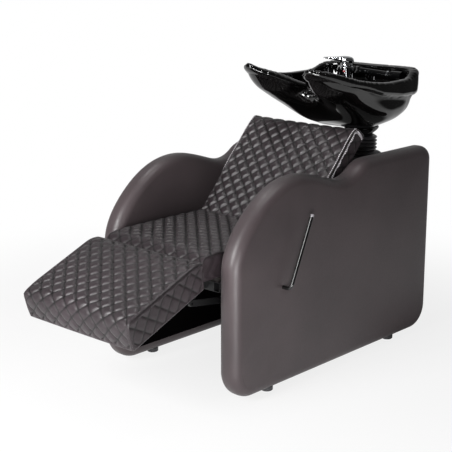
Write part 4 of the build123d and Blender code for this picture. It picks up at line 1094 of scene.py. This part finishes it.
    def build(self) -> Piece:
        """Sews, fills and quilts the pad.

        Returns:
            The piece, in place of the pad's solid.
        """
        local, faces, pattern, patches = self.lattice()
        mesh = bpy.data.meshes.new(self.name)
        mesh.from_pydata((self.placed(local) * MM).tolist(), [], faces)
        mapped = mesh.uv_layers.new(name="pattern")
        mapped.data.foreach_set("uv", np.array([spot for row in pattern for spot in row], float).ravel())
        mesh.attributes.new("patch", "INT", "FACE").data.foreach_set("value", patches)
        work = bmesh.new()
        work.from_mesh(mesh)
        bmesh.ops.recalc_face_normals(work, faces=work.faces)
        crease = work.edges.layers.float.new("crease_edge")
        kind = work.faces.layers.int["patch"]
        for edge in work.edges:
            pair = {face[kind] for face in edge.link_faces}
            if len(pair) == 2 and pair != {Patch.TOP.value, Patch.FRONT.value}:
                edge[crease] = self.sharpness
        work.to_mesh(mesh)
        work.free()
        piece = put(self.name, mesh)
        self.inflate(piece, self.held_points(local))
        divide = piece.modifiers.new("divide", "SUBSURF")
        divide.levels = divide.render_levels = 2
        divide.uv_smooth = "NONE"
        plain_mesh(piece)
        piece.vertex_groups.clear()
        self.fitted(piece.data)
        self.quilting(piece)
        finish_cover(piece, PAD_LEATHER)
        declare(piece, self.body, self.name.replace("_pad", "_cushion"))
        self.seams(piece)
        return piece


@dataclass
class GlazedBasin:
    """Fired basin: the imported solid's form with every edge melted round by the glaze."""

    node: str = "basin"
    voxel_mm: float = 3.5
    passes: int = 22
    last_passes: int = 16
    neck: float = 738.0
    rise: float = 262.0
    rear: float = 78.0
    front: float = -496.0
    half_width: float = 222.0
    bead: float = 6.0
    lip: float = 22.0
    axis: float = -60.0
    middle: float = -170.0
    foot: float = 742.0
    wall_low: float = 745.0
    belly: float = 790.0
    wing_low: float = 860.0
    tip_low: float = 890.0
    notch_low: float = 908.0
    sag: float = 16.0
    fullness: float = 4.0
    wing_fill: float = 12.0
    tail_fill: float = 8.0
    wing_lift: float = 9.0
    wing_spread: float = 0.1
    wing_back: float = 16.0
    band_runs: tuple[float, ...] = (0.87, 0.76, 0.53, 0.45, 0.215, 0.085, -0.06)
    band_heights: tuple[float, ...] = (0.895, 0.780, 0.626, 0.573, 0.500, 0.485, 0.475)
    rim_runs: tuple[float, ...] = (1.06, 1.0, 0.93, 0.84, 0.72, 0.60, 0.48, 0.33, 0.215, 0.12, 0.055, 0.0)
    rim_heights: tuple[float, ...] = (0.925, 0.925, 0.905, 0.862, 0.808, 0.765, 0.733, 0.713, 0.718, 0.742,
                                      0.800, 0.821)
    notch_runs: tuple[float, ...] = (0.0, 0.11, 0.27, 0.45, 0.66)
    notch_heights: tuple[float, ...] = (0.628, 0.672, 0.786, 0.878, 1.02)

    def build(self) -> Piece:
        """Remeshes a copy of the solid evenly and rounds its edges.

        Returns:
            The piece, in place of the basin's solid.
        """
        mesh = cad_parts[self.node].data.copy()
        work = bmesh.new()
        work.from_mesh(mesh)
        bmesh.ops.remove_doubles(work, verts=work.verts, dist=1e-6)
        work.to_mesh(mesh)
        work.free()
        piece = put("glazed_basin", mesh)
        even = piece.modifiers.new("even", "REMESH")
        even.mode = "VOXEL"
        even.voxel_size = self.voxel_mm * MM
        plain_mesh(piece)
        self.melt(piece.data, self.passes)
        self.fill_belly(piece.data)
        self.roll_rim(piece.data)
        self.shape_wings(piece.data)
        self.melt(piece.data, self.last_passes)
        finish_cover(piece, BLACK_GLAZE)
        return declare(piece, "basin_head", self.node)

    def facing_out(self, place: np.ndarray, normal: np.ndarray) -> np.ndarray:
        """How far each point's normal leads away from the middle of the basin, seen from above."""
        return ((place - [0.0, self.middle, 0.0]) * normal)[:, :2].sum(axis=1)

    def melt(self, mesh: Mesh, passes: int) -> None:
        """Evens the surface, growing back after each pass so that the walls keep their width.

        Args:
            mesh: even mesh of the basin.
            passes: number of passes.
        """
        pairs = np.empty(len(mesh.edges) * 2, int)
        mesh.edges.foreach_get("vertices", pairs)
        a, b = pairs.reshape(-1, 2).T
        count = len(mesh.vertices)
        links = np.bincount(a, minlength=count) + np.bincount(b, minlength=count)
        place = places_of(mesh)
        for step in range(passes * 2):
            share = 0.6 if step % 2 == 0 else -0.58
            total = np.column_stack([np.bincount(a, place[b, axis], minlength=count)
                                     + np.bincount(b, place[a, axis], minlength=count) for axis in range(3)])
            place = place + share * (total / links[:, None] - place)
        move_points(mesh, place)

    def edge_height(self, place: np.ndarray) -> tuple[np.ndarray, np.ndarray]:
        """Level of the rim above each point, and the height of the raised band below it.

        Args:
            place: points in millimetres.

        Returns:
            Rim levels and band heights.
        """
        run = (self.rear - place[:, 1]) / (self.rear - self.front)
        rim, band = (self.neck + self.rise * np.interp(run, runs[::-1], heights[::-1]) for runs, heights in (
            (self.rim_runs, self.rim_heights), (self.band_runs, self.band_heights)))
        notch = self.neck + self.rise * np.interp(np.abs(place[:, 0]) / self.half_width, self.notch_runs,
                                                  self.notch_heights, right=2.0)
        return (np.where(run > 0.5, np.minimum(rim, notch), rim),
                np.where((run > 0.5) & (notch < rim), self.lip, np.maximum(rim - band, self.lip)))

    def outer_radius(self, mesh: Mesh, turns: np.ndarray, levels: np.ndarray) -> np.ndarray:
        """Distance of the outer wall from the bowl's axis, by level and direction.

        Args:
            mesh: even mesh of the basin.
            turns: directions in radians.
            levels: heights in millimetres.

        Returns:
            One row per level.
        """
        tree = surface_of(mesh)
        far, reach = 700.0, np.zeros((len(levels), len(turns)))
        for i, level in enumerate(levels):
            for j, turn in enumerate(turns):
                way = Vector((math.sin(turn), math.cos(turn), 0))
                start = (Vector((0, self.axis, level)) + way * far) * MM
                spot, _, _, gone = tree.ray_cast(start, -way)
                reach[i, j] = far - gone / MM if spot else reach[i, j - 1]
        return reach

    def fill_belly(self, mesh: Mesh) -> None:
        """Fills the outer wall out to one convex belly below the neck notch.

        Args:
            mesh: even mesh of the basin.
        """
        width, step = 3.0, 5.0
        turns, levels = np.radians(np.arange(0, 360, width)), np.arange(740.0, 926.0, step)
        reach = self.outer_radius(mesh, turns, levels)
        facing = np.cos(turns[:, None] - turns[None, :])
        hull = reach.copy()
        for i, row in enumerate(reach):
            support = (row[None, :] * facing).max(axis=1)
            reached = support[:, None] / np.maximum(facing, 0.05)
            hull[i] = np.min(np.where(facing > 0.05, reached, 1e9), axis=0)
        start = smooth_step((levels - self.foot) / 22)
        fill = smooth_step((self.notch_low - levels) / 105) * start
        ahead = np.sqrt(np.maximum(0, -np.cos(turns)))
        sag = self.sag * np.exp(-((levels - self.belly) / 36) ** 2)[:, None] * ahead[None]
        full = reach + fill[:, None] * (hull - reach) + sag * start[:, None]
        for _ in range(5):
            full = (np.roll(full, 1, axis=1) + 2 * full + np.roll(full, -1, axis=1)) / 4
            full[1:-1] = (full[:-2] + 2 * full[1:-1] + full[2:]) / 4
        shift = start[:, None] * smooth_step((self.notch_low - levels) / 40)[:, None] * (full - reach)
        place = places_of(mesh) / MM
        local = place - [0, self.axis, 0]
        radius = np.hypot(local[:, 0], local[:, 1])
        column = np.degrees(np.arctan2(local[:, 0], local[:, 1])) % 360 / width
        row = np.clip((place[:, 2] - levels[0]) / step, 0, len(levels) - 1.001)
        i, j = row.astype(int), column.astype(int) % len(turns)
        u, v = row - i, column - np.floor(column)

        def at(grid: np.ndarray) -> np.ndarray:
            """Value of a grid at every point."""
            after = (j + 1) % len(turns)
            return ((1 - u) * ((1 - v) * grid[i, j] + v * grid[i, after])
                    + u * ((1 - v) * grid[i + 1, j] + v * grid[i + 1, after]))

        outer = (np.abs(radius - at(reach)) < 9) & (place[:, 2] < levels[-1])
        grow = np.where(outer, at(shift), 0.0) / np.maximum(radius, 1)
        place[:, :2] += local[:, :2] * grow[:, None]
        move_points(mesh, place * MM)

    def shape_wings(self, mesh: Mesh) -> None:
        """Thickens the outer wall, and spreads and lifts the two wings.

        Args:
            mesh: even mesh of the basin.
        """
        place, normal = places_of(mesh) / MM, normals_of(mesh)
        run = (self.rear - place[:, 1]) / (self.rear - self.front)
        # Outer wall only, from just above the foot; the wings and the tail get more
        away = self.facing_out(place, normal) - 60 * normal[:, 2] > 0
        outer = away * smooth_step((place[:, 2] - self.wall_low) / 40)
        grow = (self.fullness + self.wing_fill * smooth_step((run - 0.45) / 0.3)
                + self.tail_fill * smooth_step((0.12 - run) / 0.1)) * outer
        place = place + normal * [1, 1, 0.6] * grow[:, None]
        # The two wings stand at the front end, above the bowl
        ahead = smooth_step((run - 0.6) / 0.35) * smooth_step((place[:, 2] - self.wing_low) / 80)
        place[:, 0] *= 1 + self.wing_spread * ahead
        place[:, 1] += self.wing_back * ahead
        high = smooth_step((place[:, 2] - self.tip_low) / 70)
        place[:, 2] += self.wing_lift * high * smooth_step((run - 0.62) / 0.25)
        move_points(mesh, place * MM)

    def roll_rim(self, mesh: Mesh) -> None:
        """Raises the band below the rim, with a crisp lower edge and a rolled top.

        Args:
            mesh: even mesh of the basin.
        """
        place, normal = places_of(mesh) / MM, normals_of(mesh)
        rim, band = self.edge_height(place)
        below = rim - place[:, 2]
        away = smooth_step(self.facing_out(place, normal) / 70 + 0.3)
        bead = self.bead * smooth_step((band - below) / 4.5) * smooth_step((below + 4) / 9)
        level = normal * [1, 1, 0.15]
        outside = away * smooth_step((0.97 - np.abs(normal[:, 2])) / 0.3)
        move_points(mesh, (place + level * (bead * outside)[:, None]) * MM)


@dataclass
class RibbedSleeve:
    """Rubber bellows that closes the gap between column and basin while the basin tilts."""

    low: float = 620.0
    high: float = 699.5
    root: float = 65.0
    crest: float = 73.0
    bore: float = 60.0
    ribs: int = 6
    steps_per_rib: int = 14
    turns: int = 96

    def build(self) -> Piece:
        """Turns the ribbed section round the column.

        Returns:
            The piece, in place of the bellows' solid.
        """
        share = np.arange(self.ribs * self.steps_per_rib + 1) / (self.ribs * self.steps_per_rib)
        swing = np.sin(np.pi * share * self.ribs) ** 2
        radius = np.append(self.root + (self.crest - self.root) * swing**0.7, [self.bore, self.bore])
        level = np.append(self.low + (self.high - self.low) * share, [self.high, self.low])
        rows = []
        for turn in 2 * np.pi * np.arange(self.turns) / self.turns:
            rows.append(np.column_stack([radius * np.cos(turn), radius * np.sin(turn), level]))
        faces = ring_faces(self.turns, len(level), joined=True)
        piece = declare(make_piece("rubber_bellows", np.vstack(rows), faces, RUBBER_WITH_PAINTED_SHEEN), None,
                        "column_bellows")
        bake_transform(piece)
        return piece


@dataclass
class MixerLever:
    """Cast lever of the mixer: a round hood that runs out into a thin flat blade."""

    centre: tuple[float, float] = (-50.0, -13.0)
    aim: float = 223.0
    sections: tuple[tuple[float, float, float, float], ...] = (
        (-27.6, 3.0, 967.0, 972.0), (-26.0, 11.0, 961.8, 978.5), (-20.0, 19.5, 961.4, 984.0),
        (-8.0, 26.0, 961.3, 987.0), (6.0, 27.2, 961.3, 988.0), (17.0, 22.5, 962.0, 987.6),
        (25.0, 15.5, 966.5, 986.6), (36.0, 12.5, 971.0, 985.8), (54.0, 11.0, 975.6, 985.2),
        (74.0, 10.4, 978.6, 985.2), (82.0, 8.8, 979.8, 985.0), (85.0, 4.0, 981.2, 984.2))
    points: int = 40
    squareness: float = 0.8

    def build(self) -> Piece:
        """Lofts rounded sections along the blade: place along, half width, lowest and highest level.

        Returns:
            The piece, in place of the handle's solid.
        """
        turn = math.radians(self.aim)
        ahead = np.array([math.cos(turn), math.sin(turn)])
        aside = np.array([-ahead[1], ahead[0]])
        table = np.array(self.sections)
        fine = np.interp(np.arange(4 * len(table) - 3) / 4, np.arange(len(table)), table[:, 0])
        angle = 2 * np.pi * np.arange(self.points) / self.points
        c, s = (np.sign(wave) * np.abs(wave) ** self.squareness for wave in (np.cos(angle), np.sin(angle)))
        rows = []
        for at in fine:
            half, low, high = (np.interp(at, table[:, 0], table[:, column]) for column in (1, 2, 3))
            flat = np.array(self.centre) + ahead * at + aside * (half * c)[:, None]
            rows.append(np.column_stack([flat, (low + high) / 2 + (high - low) / 2 * s]))
        faces = ring_faces(len(fine), self.points, capped=True)
        piece = make_piece("mixer_lever_casting", np.vstack(rows), faces, CHROME)
        return declare(piece, "mixer_lever", "mixer_handle")


@dataclass
class ShadeSheet:
    """Black sheet over the inner face of a side panel below the seat: painted shade for the deep shadow
    there.
    """

    side: Side
    face: float = 220.6
    edges: tuple[float, float, float, float] = (-962.0, -6.0, 52.0, 396.0)
    low_radius: float = 52.0
    high_radius: float = 6.0
    layers: tuple[tuple[float, float], ...] = ((0.0, 2.0), (0.6, 0.5), (1.6, 0.0), (3.8, 0.0))

    def build(self) -> Piece:
        """Thin rounded pad on the panel, drawn from its depths and insets.

        Returns:
            The painted shade sheet.
        """
        front, rear, low, high = self.edges
        ring = []
        for y, z, start in ((rear, high, 0), (front, high, 90), (front, low, 180), (rear, low, 270)):
            radius = self.low_radius if z == low else self.high_radius
            middle = (y + (radius if y == front else -radius), z + (radius if z == low else -radius))
            turn = np.radians(start + np.arange(13) * 7.5)
            ring.append(np.array(middle) + radius * circle(turn))
        ring = np.vstack(ring)
        away = np.sign(ring - ring.mean(axis=0))
        rows = [np.column_stack([np.full(len(ring), self.side.value * (self.face + depth)),
                                 ring - away * inset]) for depth, inset in self.layers]
        faces = ring_faces(len(rows), len(ring), capped=True)
        piece = make_piece(f"{self.side.label}_panel_lining", np.vstack(rows), faces, SHADE_SHEET)
        return declare(piece, "chair")


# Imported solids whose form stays, by the finish that the real piece has
CARRIED = (
    (POWDER_COAT, ("front_cross_tube", "rear_cross_tube", "back_cross_tube", "torsion_tube", "base_plate",
                   "base_cross_tube", "column_tube", "column_head", "tilt_bracket")),
    (STAINED_PLY, ("seat_board", "back_board", "legrest_board")),
    (PIN_STEEL, ("hinge_pins", "crank_pins", "tilt_pin")),
    (ZINC, ("frame_bolts", "basin_bolts", "mixer_nut")),
    (CHROME, ("drain_flange", "hair_catcher", "mixer_body", "mixer_spindle", "shower_collar")),
    (SHOWER_ABS, ("shower_elbow", "shower_handle")),
    (PVC, ("waste_pipe", "waste_elbow", "waste_clip")),
    (RUBBER_WITH_PAINTED_SHEEN, ("glide_feet",)),
    (NYLON, ("lever_bush",)),
    (LEVER_ENAMEL, ("lever_bar",)),
    (CAP_PLASTIC, ("lever_cap",)),
    (MARK_PAINT, ("mixer_mark",)),
)
# Solids that each side of the chair has its own of
CARRIED_BY_SIDE = (
    (STAINED_PLY, ("side_core",)),
    (INNER_BOARD, ("inner_board",)),
    (POWDER_COAT, ("seat_rail", "bearing_plate", "hinge_lug", "legrest_arm", "crank", "link_bar",
                   "back_upright")),
)


def dress_carried() -> int:
    """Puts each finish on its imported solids.

    Returns:
        The number of nodes dressed.
    """
    finishes = {name: finish for finish, names in CARRIED for name in names}
    for side in Side:
        finishes |= {f"{side.label}_{name}": finish for finish, names in CARRIED_BY_SIDE for name in names}
    for name, finish in finishes.items():
        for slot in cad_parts[name].material_slots:
            slot.material = finish.material()
    return len(finishes)


@dataclass(frozen=True)
class Lamp:
    """Rectangular soft lamp aimed at a place, in metres and watts."""

    name: str
    place: tuple[float, float, float]
    size: tuple[float, float]
    power: float
    aim: tuple[float, float, float]
    lights_matt: bool = True

    def build(self) -> None:
        """Hangs the lamp."""
        data = bpy.data.lights.new(self.name, "AREA")
        data.shape = "RECTANGLE"
        data.size, data.size_y = self.size
        data.energy = self.power
        lamp = put(self.name, data)
        lamp.visible_diffuse = self.lights_matt
        lamp.location = self.place
        lamp.rotation_euler = (Vector(self.aim) - Vector(self.place)).to_track_quat("-Z", "Y").to_euler()


@dataclass
class Studio:
    """Pale floor, soft lamps, white surround and the camera of the product picture."""

    centre: tuple[float, float] = (0.0, -0.65)
    half_floor: float = 60.0
    lens_mm: float = 91.83
    camera_place: tuple[float, float, float] = (2.52381, -3.46584, 1.41743)
    camera_turn: tuple[float, float, float] = (75.89, 0.0, 42.64)
    lamps: tuple[Lamp, ...] = (
        Lamp("overhead_softbox", (0.1, -0.7, 2.8), (1.2, 0.8), 3.5, (0.0, -0.65, 0.5)),
        Lamp("key_softbox", (-0.1, -3.5, 1.62), (1.3, 1.3), 118.0, (0.0, -0.8, 0.5)),
        Lamp("low_fill", (1.8, -2.4, 0.26), (0.8, 0.7), 48.0, (0.3, -1.0, 0.2)),
        Lamp("left_spot", (-0.55, -0.75, 2.5), (0.3, 0.14), 9.0, (0.0, -0.3, 0.9), False),
        Lamp("right_spot", (0.75, -0.75, 2.5), (0.3, 0.14), 9.0, (0.0, -0.3, 0.9), False))

    def measure(self, tree: Tree, kind: str, place: Socket, other: tuple[float, float, float]) -> Socket:
        """Distance from a place, or length along a direction."""
        node = add_node(tree, "ShaderNodeVectorMath", {"operation": kind}, {1: other}, {0: place})
        return node.outputs["Value"]

    def combine(self, tree: Tree, kind: str, a: Socket, b: Socket) -> Socket:
        """Product or larger of two values."""
        return add_node(tree, "ShaderNodeMath", {"operation": kind}, links={0: a, 1: b}).outputs["Value"]

    def mix(self, tree: Tree, share: Socket, first: bpy.types.Node, last: bpy.types.Node) -> bpy.types.Node:
        """Mix of two shaders."""
        return add_node(tree, "ShaderNodeMixShader",
                        links={0: share, 1: first.outputs[0], 2: last.outputs[0]})

    def floor(self) -> None:
        """Wide pale floor, white to the eye, that keeps the shadow and shows painted shade in some
        reflections.
        """
        finish = bpy.data.materials.new("matt_white_studio_floor")
        finish.use_nodes = True
        tree = finish.node_tree
        tree.nodes.clear()
        place = add_node(tree, "ShaderNodeTexCoord").outputs["Object"]
        path = add_node(tree, "ShaderNodeLightPath").outputs
        away = self.measure(tree, "DISTANCE", place, (*self.centre, 0.0))
        near = spread(tree, away, (0.7, 2.2), (0.82, 1.0), eased=True)
        seen = self.combine(tree, "MAXIMUM", path["Is Camera Ray"], path["Is Transmission Ray"])
        gloss = add_node(tree, "ShaderNodeMath", {"operation": "MULTIPLY_ADD", "use_clamp": True}, {1: 0.6},
                         {0: path["Is Glossy Ray"], 2: seen})
        share = self.combine(tree, "MULTIPLY", gloss.outputs["Value"], near)
        tone = two_tones(tree, noise(tree, place, 900.0), (0.3, "efefef"), (0.7, "f4f4f4"))
        matt = add_node(tree, "ShaderNodeBsdfDiffuse", links={"Color": tone})
        white = add_node(tree, "ShaderNodeEmission", values={"Color": WHITE, "Strength": 1.0})
        # Painted shadow and painted dark patch, seen only in reflections: the floor is dark at the far right
        # and beneath the basin, so the glaze stays deep
        far = self.measure(tree, "DOT_PRODUCT", place, (0.85, 0.3, 0.0))
        far = spread(tree, far, (1.1, 1.7), (0.0, 0.97), eased=True)
        painted_shadow = self.measure(tree, "DISTANCE", place, (-0.1, 0.2, 0.0))
        painted_shadow = spread(tree, painted_shadow, (0.45, 0.75), (0.95, 0.0), eased=True)
        dark = self.combine(tree, "MAXIMUM", far, painted_shadow)
        painted_reflection_shade = self.combine(tree, "MULTIPLY", path["Is Glossy Ray"], dark)
        painted_dark_floor = add_node(tree, "ShaderNodeEmission", values={"Color": WHITE, "Strength": 0.04})
        shown = self.mix(tree, painted_reflection_shade, self.mix(tree, share, matt, white), painted_dark_floor)
        add_node(tree, "ShaderNodeOutputMaterial", links={"Surface": shown.outputs[0]})
        mesh = bpy.data.meshes.new("studio_floor")
        reach = self.half_floor
        mesh.from_pydata([(x * reach, y * reach, 0) for x, y in ((-1, -1), (1, -1), (1, 1), (-1, 1))], [],
                         [(0, 1, 2, 3)])
        mesh.materials.append(finish)
        put("studio_floor", mesh)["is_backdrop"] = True

    def world(self) -> None:
        """White behind the object, and in reflections brighter behind it than at the camera's side."""
        world = bpy.data.worlds.new("studio")
        bpy.context.scene.world = world
        world.use_nodes = True
        tree = world.node_tree
        tree.nodes.clear()
        way = add_node(tree, "ShaderNodeTexCoord").outputs["Generated"]
        behind = self.measure(tree, "DOT_PRODUCT", way, (-0.68, 0.73, 0.0))
        level = spread(tree, behind, (0.3, 0.85), (0.05, 0.42))
        path = add_node(tree, "ShaderNodeLightPath").outputs
        seen = self.combine(tree, "MAXIMUM", path["Is Camera Ray"], path["Is Transmission Ray"])
        wide = add_node(tree, "ShaderNodeBackground", values={"Color": WHITE}, links={"Strength": level})
        white = add_node(tree, "ShaderNodeBackground", values={"Color": WHITE, "Strength": 1.0})
        shown = self.mix(tree, seen, wide, white)
        add_node(tree, "ShaderNodeOutputWorld", links={"Surface": shown.outputs[0]})

    def camera(self) -> None:
        """Camera at the picture's angle."""
        data = bpy.data.cameras.new("product_camera")
        data.lens = self.lens_mm
        data.sensor_width = 36.0
        camera = put("product_camera", data)
        camera.location = self.camera_place
        camera.rotation_euler = [math.radians(turn) for turn in self.camera_turn]
        bpy.context.scene.camera = camera

    def build(self) -> None:
        """Sets the whole stage."""
        self.camera()
        self.floor()
        self.world()
        for lamp in self.lamps:
            lamp.build()
        bpy.context.scene.view_settings.view_transform = "Standard"


def corners() -> list[list[float]]:
    """Lowest and highest corner of what is shown, as plain numbers."""
    return [[float(value) for value in corner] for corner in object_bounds()]


def pads() -> list[QuiltedPad]:
    """Seat, backrest and leg-rest pads, placed in the panels' own frame."""
    return [
        QuiltedPad("seat_pad", "chair", (0.0, -133.0 - PANEL_LEAD, 480.0), (-1, 0, 0), 0.0,
                   436.0, 453.0, 75.0, 30.0, 5.0, swell=4.0),
        # The backrest's stitch rows are thick, close and pale: part stitching, part painted highlight along
        # the seams
        QuiltedPad("back_pad", "chair", (0.0, -130.0 - PANEL_LEAD, 470.0), (1, 0, 0), 47.5,
                   436.0, 430.0, 60.0, 22.0, 4.0, side_puff=3.0, swell=4.0, wider=18.0, longer=9.0,
                   thread=PALE_THREAD_AND_HIGHLIGHT, sewing=Beads((3.6, 3.6, 5.6), 7.0), rows=(1.0, -3.5, -7.5),
                   seam_band=8.0),
        QuiltedPad("legrest_pad", "legrest", (0.0, -606.0 - PANEL_LEAD, 477.0), (-1, 0, 0), 22.3,
                   456.0, 330.0, 85.0, 20.0, 5.0, lean=22.0, side_puff=2.6, wider=14.0, longer=4.0,
                   rear_drop=12.0, seam_band=9.0),
    ]


def main() -> None:
    """Builds the stage and every piece in order."""
    logging.basicConfig(level=logging.INFO, format="%(name)s: %(message)s")
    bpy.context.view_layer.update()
    Studio().build()
    LOG.info("dressed %d packed nodes", dress_carried())
    makers = [*pads(), *(ArmPanel(side) for side in Side), *(BoardScrews(side) for side in Side)]
    makers += [GlazedBasin(), RibbedSleeve(), MixerLever(), *(ShadeSheet(side) for side in Side)]
    for maker in makers:
        piece = maker.build()
        LOG.info("%s: %d faces", piece.name, len(piece.data.polygons))


if __name__ == "__main__":
    main()
